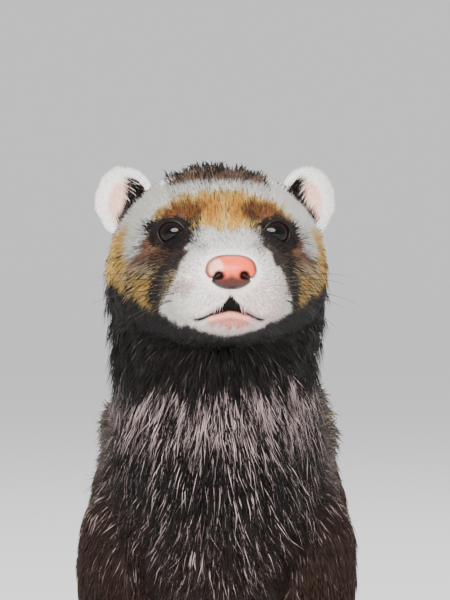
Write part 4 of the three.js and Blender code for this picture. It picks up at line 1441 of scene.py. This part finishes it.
bm = bmesh.new()
for side in SIDES.values():
    for row in WHISKERS:
        line = whisker_line(side, *row)
        add_loft(bm, [
            ring_round(line, s, (0, 0, 1), WHISKER_RADIUS * (1 - 0.9 * s), head_matrix)
            for s in np.linspace(0, 1, 9)
        ], 6)
worn(finished("whiskers", bm), bristle)
print("whiskers:", 2 * len(WHISKERS))

# %% [markdown]
# ## Camera, light and floor
#
# The picture shows the head from straight ahead, level with the nose, so the camera looks
# along +Y with a long lens, and its shift-free aim puts the nose pad where the picture has it.
# Large soft lights and a pale floor stand in for a quiet studio.

# %% Camera
FRAME_PIXELS = (450, 600)
NOSE_PIXEL = (231, 272)
PIXELS_TO_MM = 3.72  # at the cheeks
CHEEKS_BEHIND = 42  # millimetres from the nose back to the widest part of the face
CAMERA_AWAY = 950  # millimetres in front of the nose
SENSOR = 36
camera_data = bpy.data.cameras.new("camera")
camera = placed("camera", camera_data)
camera_data.sensor_width = SENSOR
camera_data.lens = SENSOR * (CAMERA_AWAY + CHEEKS_BEHIND) / (FRAME_PIXELS[1] / PIXELS_TO_MM)
at_nose = PIXELS_TO_MM * (CAMERA_AWAY + CHEEKS_BEHIND) / CAMERA_AWAY
aim = moved(head_matrix, NOSE_AT[None])[0] + np.array([
    (FRAME_PIXELS[0] / 2 - NOSE_PIXEL[0]) / at_nose, -CAMERA_AWAY,
    (NOSE_PIXEL[1] - FRAME_PIXELS[1] / 2) / at_nose,
])
camera.location = to_frame(aim)
camera.rotation_euler = (math.radians(90), 0, 0)
camera_data.clip_start, camera_data.clip_end = 0.02, 60
bpy.context.scene.camera = camera
print("lens in mm:", round(camera_data.lens, 1))

# %% Lights
def softbox(name, place, aim_at, size, power):
    data = bpy.data.lights.new(name, "AREA")
    data.shape, data.size, data.size_y, data.energy = "ELLIPSE", size[0], size[1], power
    lamp = placed(name, data)
    lamp.location = place
    lamp.rotation_euler = (Vector(aim_at) - Vector(place)).to_track_quat("-Z", "Y").to_euler()


softbox("key", (-0.05, -1.2, 0.55), (0, -0.15, 0.12), (1.0, 0.5), 30)
softbox("above", (0.2, 0.5, 1.6), (0.2, 0.5, 0), (1.2, 1.2), 16)
world = bpy.data.worlds.new("studio")
bpy.context.scene.world = world
world.use_nodes = True
sky = world.node_tree.nodes["Background"].inputs
sky["Color"].default_value = (0.93, 0.93, 0.94, 1)
sky["Strength"].default_value = 0.95
print("lights:", len(bpy.data.lights))

# %% Floor: one sheet of pale paper that curves up far away, so that no horizon shows
FLOOR_RADIUS, SWEEP_RADIUS, SWEEP_STEPS = 7.0, 3.5, 16  # metres
bm = bmesh.new()
bmesh.ops.create_circle(bm, cap_ends=True, segments=96, radius=FLOOR_RADIUS)
rim = list(bm.edges)
for k in range(1, SWEEP_STEPS + 1):
    a = math.pi / 2 * k / SWEEP_STEPS
    grown = bmesh.ops.extrude_edge_only(bm, edges=rim)["geom"]
    rim = [e for e in grown if isinstance(e, bmesh.types.BMEdge)]
    for vertex in (v for v in grown if isinstance(v, bmesh.types.BMVert)):
        out = Vector((vertex.co.x, vertex.co.y, 0)).normalized()
        vertex.co = out * (FLOOR_RADIUS + SWEEP_RADIUS * math.sin(a))
        vertex.co.z = SWEEP_RADIUS * (1 - math.cos(a))
floor = finished("floor", bm)
sheet = max(floor.data.polygons, key=lambda polygon: polygon.area)
sheet.use_smooth = False
if sheet.normal.z < 0:
    floor.data.flip_normals()
paper, tree, shader = start_material("studio_paper", 0.9, Specular_IOR_Level=0.2)
shader.inputs["Base Color"].default_value = (0.93, 0.93, 0.92, 1)
floor.data.materials.append(paper)
